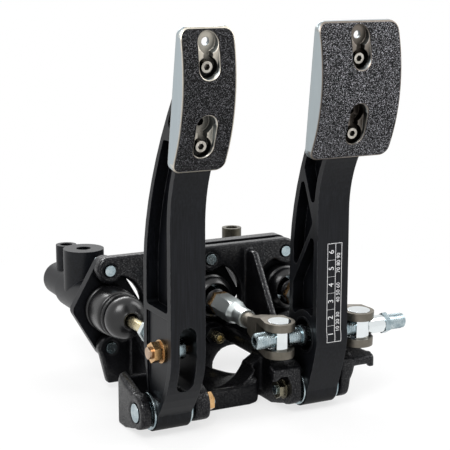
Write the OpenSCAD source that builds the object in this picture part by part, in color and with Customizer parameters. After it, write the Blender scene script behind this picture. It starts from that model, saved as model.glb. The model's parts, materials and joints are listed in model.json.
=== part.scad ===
// Floor-mounted clutch and brake pedal box with a balance bar and three master cylinders.
// Millimetres, +Z up, +Y away from the driver, origin midway between the front floor bolts.

/* [Layout] */
// Distance between the two pedals' centre planes
pedal_spacing = 112.5; // [106:0.5:122]
// Distance between the two brake cylinders' axes
cylinder_spacing = 63.5; // [60:0.5:67]
// Height of the pedal pivots above the floor
pivot_h = 16; // [15.5:0.5:18]
// Height of the cylinder axes above the floor
cylinder_h = 60.5; // [59:0.5:64]
// Distance from the pivot axis to the front face of the rear wall
wall_y = 95; // [93:0.5:102]
// Distance from the pivot axis to the front floor bolts
front_bolt_y = 22.5; // [22:0.5:24]
// Distance from the pivot axis to the rear floor bolts
rear_bolt_y = 84; // [80:0.5:86]

/* [Frame casting] */
// Thickness of the rear wall
wall_t = 8; // [6:0.5:11]
// Radius of the wall's openings round the boots
opening_r = 25; // [22:0.5:26]
// Radius of the lugs round the cylinder bolts
lug_r = 10; // [8.5:0.5:11]
// Height of the brake rails' lower edge above the floor
rail_low = 27; // [25:0.5:29]
// Radius of the arch through the rear wall
arch_r = 23; // [20:0.5:25]
// Distance from the left brake cylinder's plane to the arch's centre
arch_shift = 18; // [16:0.5:20]
// Radius of the round nose of each pivot ear
nose_r = 13; // [12:0.5:14]
// Thickness of the pivot ears
ear_t = 7.4; // [6:0.2:9]
// Height of the ears at their rear end
ear_back_h = 36; // [32:1:38]
// Thickness of the base plate and the bolt pads
base_t = 7.5; // [6:0.5:9]
// Distance from the pivot axis to the base plate's front rim
rim_y = 21; // [19:0.5:24]
// Height of the base plate's front rim
rim_h = 14; // [11:0.5:16]
// Thickness of ribs and rear webs of the casting
rib_t = 5; // [4:0.5:7]
// Radius of the floor bolt holes
floor_hole_r = 4.35; // [3.5:0.05:5]
// Reach of the left brake ear's flange
left_hook = 15; // [12:0.5:18]
// Reach of the right brake ear's flange
right_hook = 20; // [16:0.5:22]
// Extra thickness of the ear under the clutch pivot nut
nut_ear = 4; // [2:0.5:5]

/* [Pedal pivots] */
// Outer radius of the pivot sleeves
sleeve_r = 6.35; // [5.5:0.05:7]
// Wall of the pedal bushes
bush_wall = 1.6; // [1:0.1:2.5]
// Radius of the pivot bolts
pivot_bolt_r = 3.175; // [2.5:0.05:4]
// Outer radius of the thrust washers
washer_r = 12.5; // [11:0.5:14]
// Thickness of the thrust washers
washer_t = 1.5; // [1:0.1:2]
// Width across flats of the pivot nuts
pivot_nut_af = 11.1; // [10:0.1:13]

/* [Pedal arms] */
// Width of both arms
arm_w = 24.4; // [23:0.2:27]
// Radius of the arms' pivot boss
boss_r = 13.5; // [13:0.5:15]
// Front face of the clutch arm, from the pivot
clutch_front = -34.5; // [-36:0.5:-32]
// Rear face of the clutch arm, from the pivot
clutch_rear = 7.3; // [6:0.1:9]
// Front face of the brake arm, from the pivot
brake_front = -24.5; // [-27:0.5:-24]
// Rear face of the brake arm, from the pivot
brake_rear = 11.8; // [9:0.2:13]
// Height of the clutch arm's front knee above the floor
knee_z = 60; // [55:1:66]
// Height of the brake arm's front knee above the floor
brake_knee_z = 51; // [49:1:55]
// Height where the rear face starts to lean
neck_z = 117; // [110:1:124]
// Height where the front face starts to lean
shoulder_z = 143; // [138:1:150]
// Height of the arms' top end
arm_top = 254; // [252:0.5:256]
// Thickness of the tongue behind each pad
tongue_t = 9; // [7:0.5:12]
// Rim left beside the side pockets
rim_t = 4.6; // [3.5:0.2:6]
// Web left between the side pockets
web_t = 7.4; // [5:0.2:10]
// Radius of the pockets' corners
pocket_r = 3; // [1.5:0.5:4]

/* [Pads] */
// Height of both pads
pad_h = 89; // [85:1:94]
// Width of the clutch pad
clutch_pad_w = 35.6; // [30:0.2:44]
// Width of the brake pad
brake_pad_w = 59.4; // [48:0.2:64]
// Height of the pads' centre above the floor
pad_z = 226.8; // [225:0.2:228]
// Back face of the clutch pad at its centre, from the pivot
clutch_pad_y = -51; // [-52:0.5:-49]
// Back face of the brake pad at its centre, from the pivot
brake_pad_y = -41.5; // [-43:0.5:-40]
// Lean of the clutch pad towards the driver, degrees
clutch_lean = 9.8; // [8:0.2:11]
// Lean of the brake pad towards the driver, degrees
brake_lean = 7.4; // [6:0.2:9]
// Radius of the pads' curved face
pad_curve = 105; // [100:1:130]
// Greatest thickness of the pads
pad_t = 14; // [13:0.2:16]
// How far the thickest line lies below the pads' centre
pad_low = 2; // [0:0.1:4]
// Radius of the pads' corners
pad_corner = 6; // [3:0.5:8]
// Thickness of the grip sheets
grip_t = 0.8; // [0.5:0.1:1.5]
// Bare margin round the grip sheets
grip_margin = 1; // [0.8:0.1:2]
// Pad screws' spacing along the pad
screw_spacing = 49; // [47:0.5:51]
// Distance of the spare hole above each pad screw
spare_step = 14.4; // [13:0.1:15]
// Radius of the pad screws' shank
pad_screw_r = 2.4; // [2:0.1:2.8]
// Half width of the recesses round the pad screws
recess_r = 6.7; // [6.2:0.1:7.5]
// Pad left under the recesses
recess_floor = 8.5; // [7.5:0.1:9]
// Pad left under the screw heads
screw_seat = 3; // [2.5:0.1:3.5]

/* [Clutch linkage] */
// Clutch pin behind the pivot
clutch_pin_y = -17.6; // [-19:0.2:-16]
// Height of the clutch pin above the floor
clutch_pin_z = 61.6; // [59:0.2:64]
// Radius of the clutch pin bolt
clutch_pin_r = 3.95; // [3:0.05:5]
// Width of the clutch arm's slot
slot_w = 12; // [10:0.5:13]
// Height of the slot's lower end above the floor
slot_low = 35; // [33:0.5:38]
// Height of the slot's upper end above the floor
slot_high = 80; // [79:0.5:84]
// Radius of all pushrods
rod_r = 3.95; // [3:0.05:4.5]

/* [Balance bar] */
// Balance bar behind the pivot
bar_y = -8; // [-9:0.2:-6]
// Height of the balance bar above the floor
bar_z = 55.5; // [54:0.1:57]
// Radius of the balance bar
bar_r = 5.55; // [4.5:0.05:6.5]
// Bar beyond the left trunnion
bar_left = 19; // [16:0.5:24]
// Bar beyond the right trunnion
bar_right = 37.5; // [34:0.5:44]
// Radius of the hole in the bar's left end
bar_hole_r = 3.05; // [2:0.05:3.5]
// Depth of the hole in the bar's left end
bar_hole_depth = 14; // [8:0.5:18]
// Radius of the stub at the bar's right end
stub_r = 5.25; // [4.5:0.05:5.4]
// Radius of the trunnions
trunnion_r = 7.95; // [7.5:0.05:8.5]
// Distance between the flats of the trunnions
trunnion_flats = 10; // [8:0.5:12]
// Length of the sleeve beside the right trunnion
end_sleeve_len = 14; // [12:0.5:16]
// Radius of the clevis ears
clevis_r = 10.8; // [10:0.2:12]
// Thickness of the clevis ears
clevis_ear = 5.5; // [4.5:0.5:7]
// Gap between the clevis ears
clevis_gap = 13.4; // [13.4:0.1:15]
// Radius of the bearing ball
ball_r = 11.05; // [9:0.05:12]
// Wall of the bearing sleeve
race_wall = 1.7; // [1.2:0.1:2.5]
// Width across flats of the couplings and jam nuts
coupling_af = 15.9; // [14:0.1:17]

/* [Master cylinders] */
// Half the distance between the flange bolts
bolt_half = 28.575; // [27:0.005:30]
// Radius of the flange bolts
flange_bolt_r = 3.95; // [3:0.05:4.5]
// Thickness of the mounting flange
flange_t = 6.5; // [5:0.5:9]
// Half width of the mounting flange
flange_half = 26; // [24:0.5:28]
// Length of the nose in front of the flange
nose_len = 9; // [7:0.5:11]
// Outer radius of the nose
nose_out = 14.5; // [13.5:0.1:15]
// Radius of the cylinder bore
bore_r = 9.525; // [8:0.005:10]
// Outer radius of the barrel
barrel_r = 15.5; // [14:0.1:17]
// Outer radius of the barrel's far end
barrel_end_r = 13; // [12:0.1:14]
// Length of the barrel behind the flange
barrel_len = 98; // [92:1:106]
// Distance from the flange's back to the inlet boss
inlet_y = 38.5; // [36:0.5:42]
// Height of the clutch inlet above the floor
clutch_inlet_z = 95.4; // [90:0.1:100]
// Height of the brake inlets above the floor
brake_inlet_z = 84; // [80:0.5:87]
// Radius of the inlet ports
inlet_r = 5.5; // [4:0.1:7]
// Depth of the inlet ports
inlet_depth = 10; // [8:0.5:12]
// Distance from the flange's back to the outlet boss
outlet_y = 76; // [74:0.5:80]
// Height of the outlets above the floor
outlet_z = 91; // [86:0.5:96]
// Radius of the outlet ports
outlet_r = 4.76; // [3.5:0.01:5.5]
// Depth of the outlet ports
outlet_depth = 12; // [9:0.5:13]
// Length of the pistons
piston_len = 30; // [26:1:34]
// Length of the clutch boot in front of the flange
clutch_boot_len = 46; // [42:1:50]
// Length of the brake boots in front of the flange
brake_boot_len = 13.5; // [13:0.5:16]
// Thickness of the rubber
boot_t = 1.6; // [1:0.1:2.5]
// Thickness of the clamp bar behind the brake flanges
clamp_bar_t = 9; // [7:0.5:11]

/* [Clearances] */
// Radial clearance of running fits
run_gap = 0.05; // [0.03:0.01:0.09]
// Clearance between faces that slide past each other
side_gap = 0.1; // [0.05:0.05:0.3]
// Space between a thrust washer and the ear beside it
ear_gap = 1.8; // [1:0.1:2.5]
// Radial clearance of bolts in plain holes
hole_gap = 0.2; // [0.1:0.05:0.5]
// Radial gap of parts pressed or screwed together
fit_gap = 0.02; // [0.01:0.01:0.04]
// Axial play of the brake pushrods in their pistons
brake_play = 1.5; // [1.3:0.1:2]
// Axial play of the clutch pushrod in its piston
clutch_play = 0.6; // [0.4:0.1:1]

/* [Hidden] */
$fn = 64;
hull_fn = 32;
curve_steps = 8;
chamfer = 0.8;
clutch_x = -pedal_spacing / 2;
brake_x = pedal_spacing / 2;
left_x = brake_x - cylinder_spacing / 2;
right_x = brake_x + cylinder_spacing / 2;
cylinder_xs = [clutch_x, left_x, right_x];
bolt_low = cylinder_h - bolt_half;
bolt_high = cylinder_h + bolt_half;
wall_top = bolt_high + lug_r;
wall_back = wall_y + wall_t;
flange_back = wall_back + flange_t;
nose_y = wall_back - nose_len;
ear_in = arm_w / 2 + washer_t + side_gap + ear_gap;
ear_out = ear_in + ear_t;
bush_r = sleeve_r + run_gap + bush_wall;
rear_left_x = (clutch_x + left_x) / 2;
arch_x = left_x + arch_shift;
end_nut_x = right_x - brake_x + trunnion_flats / 2 + 0.3 + end_sleeve_len;
end_nut_len = 4;
pad_web_y = front_bolt_y + 9;
clevis_half = clevis_gap / 2 + clevis_ear;
race_r = ball_r + run_gap;
sleeve_out = race_r + race_wall;
seat_depth = 6;
piston_y = wall_back + 1;
cup_y = piston_y + seat_depth;
brake_rod_len = norm([cup_y - bar_y, cylinder_h - bar_z]) - brake_play;
brake_rod_tilt = atan2(cylinder_h - bar_z, cup_y - bar_y);
clutch_rod_len = norm([cup_y - clutch_pin_y, cylinder_h - clutch_pin_z]) - clutch_play;
clutch_rod_tilt = atan2(cylinder_h - clutch_pin_z, cup_y - clutch_pin_y);
upper_screw = pad_z + screw_spacing / 2 - 3.2;
screw_zs = [upper_screw - pad_z, upper_screw - screw_spacing - pad_z];
hex_ratio = 1 / cos(30);

frame_black = [0.09, 0.09, 0.1];
arm_black = [0.12, 0.12, 0.13];
rubber_black = [0.06, 0.06, 0.06];
zinc = [0.78, 0.8, 0.82];
gold = [0.78, 0.62, 0.3];
phosphate = [0.3, 0.29, 0.26];
bronze = [0.62, 0.48, 0.3];
pad_grey = [0.6, 0.64, 0.68];

// Placing helpers. Shapes are drawn with Y counted from the pivot axis.
module from_pivot() { translate([0, -front_bolt_y, 0]) children(); }

module rod_x(x0, x1, r) { translate([x0, 0, 0]) rotate([0, 90, 0]) cylinder(h = x1 - x0, r = r); }

module rod_y(y0, y1, r) { translate([0, y0, 0]) rotate([-90, 0, 0]) cylinder(h = y1 - y0, r = r); }

module cone_y(y0, y1, r0, r1) {
  translate([0, y0, 0]) rotate([-90, 0, 0]) cylinder(h = y1 - y0, r1 = r0, r2 = r1);
}

module hex_x(x0, x1, af) {
  translate([x0, 0, 0]) rotate([0, 90, 0]) cylinder(h = x1 - x0, r = af / 2 * hex_ratio, $fn = 6);
}

module hex_y(y0, y1, af) {
  translate([0, y0, 0]) rotate([-90, 0, 0]) cylinder(h = y1 - y0, r = af / 2 * hex_ratio, $fn = 6);
}

// Extrudes a Y-Z outline along X
module slab_x(x0, x1) { translate([x0, 0, 0]) rotate([90, 0, 90]) linear_extrude(x1 - x0) children(); }

// Extrudes an X-Z outline along Y
module slab_y(y0, y1) { translate([0, y1, 0]) rotate([90, 0, 0]) linear_extrude(y1 - y0) children(); }

module at_pivot_x(x) { translate([x, 0, pivot_h]) children(); }

module at_cylinder(x) { translate([x, 0, cylinder_h]) children(); }

module at_clutch_pin() { translate([clutch_x, clutch_pin_y, clutch_pin_z]) children(); }

module at_clutch_rod() { at_clutch_pin() rotate([clutch_rod_tilt, 0, 0]) children(); }

module at_bar() { translate([brake_x, bar_y, bar_z]) children(); }

module at_brake_rod(x) { translate([x, bar_y, bar_z]) rotate([brake_rod_tilt, 0, 0]) children(); }

module at_pad(x, y, lean) { translate([x, y, pad_z]) rotate([lean, 0, 0]) children(); }

function bend(a, b, c) = [
  for (i = [1:curve_steps])
    let (t = i / curve_steps)
    (1 - t) * (1 - t) * a + 2 * t * (1 - t) * b + t * t * c
];

// Frame casting

module wall_outline() {
  difference() {
    union() {
      translate([clutch_x, wall_top - 2 * lug_r]) square([right_x - clutch_x, 2 * lug_r]);
      translate([clutch_x, bolt_low]) square([right_x - clutch_x, bolt_high - bolt_low]);
      translate([clutch_x - lug_r * 0.9, rib_t]) square([opening_r + lug_r, bolt_low - rib_t]);
      translate([clutch_x + opening_r, 0]) square([right_x + lug_r - clutch_x - opening_r, bolt_low]);
    }
    for (x = cylinder_xs) translate([x, cylinder_h]) circle(r = opening_r);
    translate([arch_x, -arch_r * 0.12]) circle(r = arch_r);
  }
  for (x = cylinder_xs) for (z = [bolt_low, bolt_high]) translate([x, z]) circle(r = lug_r);
}

module ear_outline(back_y) {
  translate([0, pivot_h]) circle(r = nose_r);
  polygon([
    [0, pivot_h - nose_r], [nose_r * 0.7, 0], [back_y, 0], [back_y, ear_back_h - rib_t],
    [back_y - rib_t, ear_back_h], [nose_r * 0.3, pivot_h + nose_r * 0.95], [-nose_r, pivot_h]
  ]);
}

// Rail from the clutch ear to the rear wall, sloping up to the wall
module clutch_rail_outline() {
  ear_outline(pad_web_y + rib_t);
  polygon([
    [pad_web_y, 0], [wall_y + 1, 0], [wall_y + 1, bolt_low + lug_r],
    [wall_y - 2 * lug_r, ear_back_h - rib_t], [pad_web_y, ear_back_h - rib_t]
  ]);
}

// Brake side wall, carried up under the cylinders to the rear wall
module brake_rail_outline() {
  foot_end = pad_web_y + rib_t;
  ear_outline(foot_end);
  polygon([
    [pad_web_y, 0], [foot_end, 0], [foot_end + 2 * rib_t, rail_low], [wall_y + 1, rail_low],
    [wall_y + 1, bolt_low + rib_t], [foot_end + 3 * rib_t, ear_back_h], [pad_web_y, ear_back_h]
  ]);
}

module gusset_outline() {
  polygon([
    [wall_y + 1, rail_low], [wall_y + 1, wall_top - rib_t], [wall_y - 2 * rib_t, wall_top - rib_t],
    [pad_web_y + 4 * rib_t, bar_z - 2 * rib_t], [pad_web_y, ear_back_h + 1], [pad_web_y, base_t]
  ]);
}

// Flange on top of a brake ear: wide at the front with a lip at its end, narrow and higher at the rear
module hook(side, reach) {
  top = ear_back_h - 2;
  lip = 4;
  rise = 3;
  tip = ear_t + reach;
  back = nose_r * 0.4;
  translate([brake_x, 0, 0]) mirror([side < 0 ? 1 : 0, 0, 0]) translate([ear_in, 0, 0]) {
    translate([0, 0, top - lip]) linear_extrude(lip)
      polygon(concat([[0, rib_t * 2], [0, -nose_r], [tip, -nose_r], [tip, -back]],
                     bend([tip, -back], [ear_t + 3, 0], [ear_t, rib_t * 2])));
    slab_x(0, tip) polygon([[-nose_r, top - 1], [-nose_r, top], [-back, top + rise], [-back, top - 1]]);
    slab_x(0, ear_t) polygon([
      [-back - 1, top - 1], [-back - 1, top + rise - 1], [-back, top + rise],
      [rib_t * 2, top + 2], [rib_t * 2, top - 1]
    ]);
    translate([tip - lip, -nose_r, top - 2 * lip]) cube([lip, nose_r * 0.4, lip + 1]);
    slab_x(0, ear_t) polygon([[-nose_r, pivot_h], [rib_t, pivot_h], [rib_t, top], [-nose_r, top]]);
    slab_y(-nose_r, -nose_r * 0.6) polygon([
      [ear_t - 1, pivot_h + lip], [ear_t, pivot_h + lip],
      [ear_t + lip, top - lip + 1], [ear_t - 1, top - lip + 1]
    ]);
  }
}

module bolt_pad(x) {
  reach = ear_in + 1;
  translate([x - reach, boss_r + rib_t * 0.2, 0]) cube([2 * reach, pad_web_y - boss_r, base_t]);
  translate([x - reach, pad_web_y, 0]) cube([2 * reach, rib_t, ear_back_h - rib_t]);
}

module rear_foot(x, half) {
  foot_y = rear_bolt_y - 10;
  translate([x - half, foot_y, 0]) cube([2 * half, wall_y + 1 - foot_y, base_t]);
}

// Floor of the casting between the pedals, open towards the arch, with a rim along its front
module base_plate() {
  x0 = clutch_x + ear_in + 1;
  x1 = brake_x - ear_in - 1;
  rim_end = x1 - ear_t - 1.4 * rib_t;
  turn = 6;
  scoop_r = 34;
  difference() {
    union() {
      translate([x0, rim_y + 1, 0]) cube([rim_end - x0 - turn, wall_y - rim_y, base_t]);
      translate([x0, pad_web_y + rib_t, 0]) cube([x1 - x0, wall_y - pad_web_y - rib_t, base_t]);
    }
    translate([arch_x, wall_y + 7, -1]) cylinder(h = 3 * base_t, r = scoop_r);
    translate([arch_x, wall_y + 7 - scoop_r, -1]) cube([2 * scoop_r, 2 * scoop_r, 3 * base_t]);
  }
  slab_y(rim_y, rim_y + rib_t) polygon(concat(
    [[x0, 0], [rim_end - turn, 0]],
    bend([rim_end - turn, 0], [rim_end, 0], [rim_end, turn]),
    [[rim_end, rim_h + turn - 1]],
    bend([rim_end, rim_h + turn - 1], [rim_end - turn, rim_h], [rim_end - 2 * turn, rim_h]),
    [[x0, rim_h]]
  ));
  // sweep of the plate up to the brake side wall
  slab_y(rim_y + rib_t - 1, pad_web_y + 3 * rib_t) polygon(concat(
    [[rim_end - 4 * turn, 0]],
    bend([rim_end - 4 * turn, base_t], [rim_end - turn, rim_h + 2], [rim_end, ear_back_h - 2 * rib_t]),
    [[rim_end, base_t]],
    [[rim_end - turn, 0]]
  ));
  slab_y(pad_web_y, pad_web_y + 3 * rib_t) polygon([
    [rim_end - 1, base_t - 1], [rim_end - 1, ear_back_h - 2 * rib_t - 1], [x1, ear_back_h - 2], [x1, base_t - 1]
  ]);
}

module nut_side(x) { mirror([x == clutch_x ? 0 : 1, 0, 0]) children(); }

module pivot_holes(x) {
  at_pivot_x(x) nut_side(x) {
    rod_x(-ear_out - 5, ear_out + 5, pivot_bolt_r + hole_gap);
    rod_x(-ear_out - 5, -ear_out + 4, pivot_bolt_r * 2 + hole_gap);
  }
}

module frame() {
  color(frame_black) from_pivot() difference() {
    union() {
      slab_y(wall_y, wall_back) wall_outline();
      slab_x(clutch_x - ear_out, clutch_x - ear_in) ear_outline(pad_web_y + rib_t);
      slab_x(clutch_x + ear_in, clutch_x + ear_out) clutch_rail_outline();
      slab_x(clutch_x + ear_in, clutch_x + ear_out + nut_ear) ear_outline(pad_web_y + rib_t);
      for (x = [brake_x - ear_out, brake_x + ear_in]) slab_x(x, x + ear_t) brake_rail_outline();
      slab_x(brake_x - rib_t / 2, brake_x + rib_t / 2) gusset_outline();
      hook(-1, left_hook);
      hook(1, right_hook);
      for (x = [clutch_x, brake_x]) bolt_pad(x);
      rear_foot(rear_left_x, 12);
      rear_foot(right_x, lug_r);
      base_plate();
    }
    for (x = cylinder_xs) for (z = [bolt_low, bolt_high])
      translate([x, 0, z]) rod_y(wall_y - 1, wall_back + 1, flange_bolt_r + hole_gap);
    for (x = [clutch_x, brake_x]) {
      pivot_holes(x);
      translate([x, front_bolt_y, -1]) cylinder(h = base_t + 2, r = floor_hole_r);
    }
    for (x = [rear_left_x, right_x]) translate([x, rear_bolt_y, -1]) cylinder(h = base_t + 2, r = floor_hole_r);
  }
}

// Pedal pivots

// Both bolts have their nuts between the pedals, so the brake's points the other way
module pivot_bolts() {
  head_r = pivot_bolt_r * 2;
  nut_end = ear_out + pivot_nut_af * 0.55;
  color(zinc) from_pivot() for (x = [clutch_x, brake_x]) at_pivot_x(x) nut_side(x) difference() {
    union() {
      rod_x(-ear_out, -ear_out + 4 - side_gap, head_r);
      rod_x(-ear_out + 1, (x == clutch_x ? nut_end + nut_ear : nut_end) + 1.5, pivot_bolt_r);
    }
    if (x == brake_x) hex_x(-ear_out - 1, -ear_out + 2.2, pivot_bolt_r * 1.5);
  }
}

module pivot_sleeves() {
  color(zinc) from_pivot() for (x = [clutch_x, brake_x]) at_pivot_x(x) difference() {
    rod_x(-ear_in, ear_in, sleeve_r);
    rod_x(-ear_in - 1, ear_in + 1, pivot_bolt_r + hole_gap);
  }
}

module pivot_nuts() {
  height = pivot_nut_af * 0.55;
  color(gold) from_pivot() for (x = [clutch_x, brake_x]) {
    face = x == clutch_x ? ear_out + nut_ear : ear_out;
    at_pivot_x(x) nut_side(x) difference() {
      union() {
        hex_x(face + 1, face + height, pivot_nut_af);
        rod_x(face, face + 1.4, pivot_nut_af * 0.62);
      }
      rod_x(face - 1, face + height + 1, pivot_bolt_r + fit_gap);
    }
  }
}

module thrust_washers() {
  color(zinc) from_pivot() for (x = [clutch_x, brake_x]) for (side = [-1, 1]) {
    inner = arm_w / 2 + side_gap;
    x0 = side > 0 ? inner : -inner - washer_t;
    at_pivot_x(x) difference() {
      rod_x(x0, x0 + washer_t, washer_r);
      rod_x(x0 - 1, x0 + washer_t + 1, sleeve_r + run_gap);
    }
  }
}

module bushes(x) {
  length = arm_w / 2 - 1;
  color(bronze) from_pivot() for (side = [-1, 1]) {
    x0 = side > 0 ? arm_w / 2 - length : -arm_w / 2;
    at_pivot_x(x) difference() {
      rod_x(x0, x0 + length, bush_r);
      rod_x(x0 - 1, x0 + length + 1, sleeve_r + run_gap);
    }
  }
}

// Pedal arms

function pad_line(z, y, lean) = y - (z - pad_z) * tan(lean);

module arm_outline(front, rear, pad_y, lean, knee, ease, inset = 0) {
  pad_foot = pad_z - pad_h / 2;
  tongue_z = arm_top - 22;
  heel = 12;
  f = front + inset;
  r = rear - inset;
  boss = boss_r - inset;
  tongue_in = min(inset, tongue_t / 2 - 1);
  foot_front = [-boss, pivot_h];
  foot_rear = [boss * sin(heel), pivot_h + boss * cos(heel)];
  polygon(concat(
    [foot_front],
    bend(foot_front, [f, knee - ease], [f, knee]),
    [[f, shoulder_z]],
    bend([f, shoulder_z], [f, pad_foot - 18], [pad_line(pad_foot, pad_y, lean) + inset, pad_foot]),
    [[pad_line(arm_top, pad_y, lean) + tongue_in, arm_top - inset]],
    [[pad_line(arm_top, pad_y, lean) + tongue_t - tongue_in, arm_top - inset]],
    [[pad_line(tongue_z, pad_y, lean) + tongue_t - tongue_in, tongue_z]],
    bend([pad_line(tongue_z, pad_y, lean) + tongue_t - tongue_in, tongue_z],
         [r - 4, (tongue_z + neck_z) / 2 - 6], [r, neck_z]),
    [[r + 1, knee], foot_rear, [0, pivot_h]]
  ));
  translate([0, pivot_h]) circle(r = boss);
}

module round_pockets() { offset(r = pocket_r, $fn = hull_fn) offset(r = -pocket_r, $fn = hull_fn) children(); }

module both_sides(depth) {
  for (side = [-1, 1]) {
    x0 = side > 0 ? arm_w / 2 - depth : -arm_w / 2 - 1;
    slab_x(x0, x0 + depth + 1) children();
  }
}

module level_band(z0, z1) { translate([-100, z0]) square([200, z1 - z0]); }

module clutch_outline(inset = 0) {
  arm_outline(clutch_front, clutch_rear, clutch_pad_y, clutch_lean, knee_z, 18, inset);
}

module brake_outline(inset = 0) {
  arm_outline(brake_front, brake_rear, brake_pad_y, brake_lean, brake_knee_z, 6, inset);
}

module pad_screw_holes(pad_y, lean) {
  at_pad(0, pad_y, lean) for (z = screw_zs) translate([0, 0, z]) rod_y(-1, 2 * tongue_t, pad_screw_r + fit_gap);
}

module pivot_bore() { translate([0, 0, pivot_h]) rod_x(-arm_w, arm_w, bush_r + fit_gap); }

// Upright slot for the clevis, open at the front and the rear of the arm
module clutch_slot() {
  r = slot_w / 2;
  slab_y(-100, 100) {
    translate([0, slot_low + r]) circle(r = r);
    translate([0, slot_high - r]) circle(r = r);
    translate([-r, slot_low + r]) square([slot_w, slot_high - slot_low - 2 * r]);
  }
}

module clutch_arm() {
  rib_z = slot_high + 5;
  crown_z = pad_z - 27;
  deep = (arm_w - web_t) / 2;
  color(arm_black) from_pivot() translate([clutch_x, 0, 0]) difference() {
    slab_x(-arm_w / 2, arm_w / 2) clutch_outline();
    both_sides(deep) round_pockets() intersection() {
      clutch_outline(rim_t);
      union() {
        level_band(rib_z + 4, crown_z);
        level_band(crown_z + 8, upper_screw - tongue_t);
      }
    }
    both_sides(1.6) intersection() {
      clutch_outline(rim_t);
      level_band(pivot_h + boss_r * 0.8, rib_z);
    }
    clutch_slot();
    pivot_bore();
    pad_screw_holes(clutch_pad_y, clutch_lean);
    translate([0, clutch_pin_y, clutch_pin_z]) rod_x(-arm_w, arm_w, clutch_pin_r + fit_gap);
  }
}

// Diagonal ribs that split the brake arm's side into three pockets
module truss_ribs() {
  rib = rim_t * 0.7;
  apex = [brake_front + rim_t, shoulder_z - 8];
  rear_low = [brake_rear, bar_z + sleeve_out + 18];
  rear_high = [brake_rear - 10, shoulder_z + 42];
  for (end = [rear_low, rear_high]) {
    d = end - apex;
    translate(apex) rotate(atan2(d[1], d[0])) translate([-5, -rib / 2]) square([norm(d) + 10, rib]);
  }
}

module brake_arm() {
  deep = (arm_w - web_t) / 2;
  color(arm_black) from_pivot() translate([brake_x, 0, 0]) difference() {
    union() {
      slab_x(-arm_w / 2, arm_w / 2) brake_outline();
      translate([0, bar_y, bar_z]) rod_x(-arm_w / 2, arm_w / 2, sleeve_out + rim_t);
    }
    both_sides(deep) round_pockets() difference() {
      intersection() {
        brake_outline(rim_t);
        level_band(bar_z, upper_screw - tongue_t);
      }
      truss_ribs();
      translate([bar_y, bar_z]) circle(r = sleeve_out + rim_t);
    }
    translate([0, bar_y, bar_z]) rod_x(-arm_w, arm_w, sleeve_out + fit_gap);
    pivot_bore();
    pad_screw_holes(brake_pad_y, brake_lean);
  }
}

// Pads

module rounded_box(w, h, r) {
  square([w, h - 2 * r], center = true);
  square([w - 2 * r, h], center = true);
  for (x = [-1, 1]) for (z = [-1, 1]) translate([x * (w / 2 - r), z * (h / 2 - r)]) circle(r = r);
}

module pad_crown(extra) {
  translate([0, pad_curve - pad_t, -pad_low]) rod_x(-100, 100, pad_curve + extra);
}

module pad_recess(extra) {
  r = recess_r + extra;
  for (z = screw_zs) translate([0, z]) {
    circle(r = r);
    translate([0, spare_step]) circle(r = r);
    translate([-r, 0]) square([2 * r, spare_step]);
  }
}

module pad_plate(w) {
  difference() {
    intersection() {
      slab_y(-2 * pad_t, 0) rounded_box(w, pad_h, pad_corner);
      pad_crown(0);
    }
    slab_y(-2 * pad_t, -recess_floor) pad_recess(0);
    for (z = screw_zs) for (up = [0, spare_step]) translate([0, 0, z + up]) {
      rod_y(-2 * pad_t, -screw_seat, pad_screw_r * 2.3);
      rod_y(-2 * pad_t, 1, pad_screw_r + hole_gap);
    }
  }
}

module grip_sheet(w) {
  difference() {
    intersection() {
      slab_y(-2 * pad_t, 0) rounded_box(w - 2 * grip_margin, pad_h - 2 * grip_margin, pad_corner - grip_margin);
      pad_crown(grip_t);
    }
    pad_crown(fit_gap);
    slab_y(-2 * pad_t, 1) pad_recess(grip_margin / 2);
  }
}

module pad_screws() {
  head_h = pad_screw_r * 2;
  for (z = screw_zs) translate([0, 0, z]) difference() {
    union() {
      rod_y(-screw_seat - head_h, -screw_seat, pad_screw_r * 1.5);
      rod_y(-screw_seat - 1, tongue_t - 1.5, pad_screw_r);
    }
    hex_y(-screw_seat - head_h - 1, -screw_seat - head_h / 2, pad_screw_r * 1.5);
  }
}

module clutch_bushes() { bushes(clutch_x); }

module clutch_pad() {
  color(pad_grey) from_pivot() at_pad(clutch_x, clutch_pad_y, clutch_lean) pad_plate(clutch_pad_w);
}

module clutch_grip() {
  color(rubber_black) from_pivot() at_pad(clutch_x, clutch_pad_y, clutch_lean) grip_sheet(clutch_pad_w);
}

module clutch_pad_screws() {
  color(zinc) from_pivot() at_pad(clutch_x, clutch_pad_y, clutch_lean) pad_screws();
}

module brake_bushes() { bushes(brake_x); }

module brake_pad() {
  color(pad_grey) from_pivot() at_pad(brake_x, brake_pad_y, brake_lean) pad_plate(brake_pad_w);
}

module brake_grip() {
  color(rubber_black) from_pivot() at_pad(brake_x, brake_pad_y, brake_lean) grip_sheet(brake_pad_w);
}

module brake_pad_screws() {
  color(zinc) from_pivot() at_pad(brake_x, brake_pad_y, brake_lean) pad_screws();
}

// Clutch linkage

module clutch_pin_bolt() {
  face = arm_w / 2 - 1.6;
  color(zinc) from_pivot() at_clutch_pin() {
    rod_x(-face - clutch_pin_r * 2 - 2.5, face + 1, clutch_pin_r);
    difference() {
      hex_x(face, face + clutch_pin_r * 1.3, clutch_pin_r * 3.2);
      translate([face + clutch_pin_r * 1.3 - 0.5, 0, 0]) rod_x(0, 1, clutch_pin_r * 0.9);
    }
  }
}

module clutch_pin_nut() {
  face = arm_w / 2 - 1.6;
  color(gold) from_pivot() at_clutch_pin() difference() {
    union() {
      rod_x(-face - 1.8, -face, clutch_pin_r * 1.95);
      hex_x(-face - clutch_pin_r * 2, -face - 1, clutch_pin_r * 3.1);
    }
    rod_x(-face - 20, 1, clutch_pin_r + fit_gap);
  }
}

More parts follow.
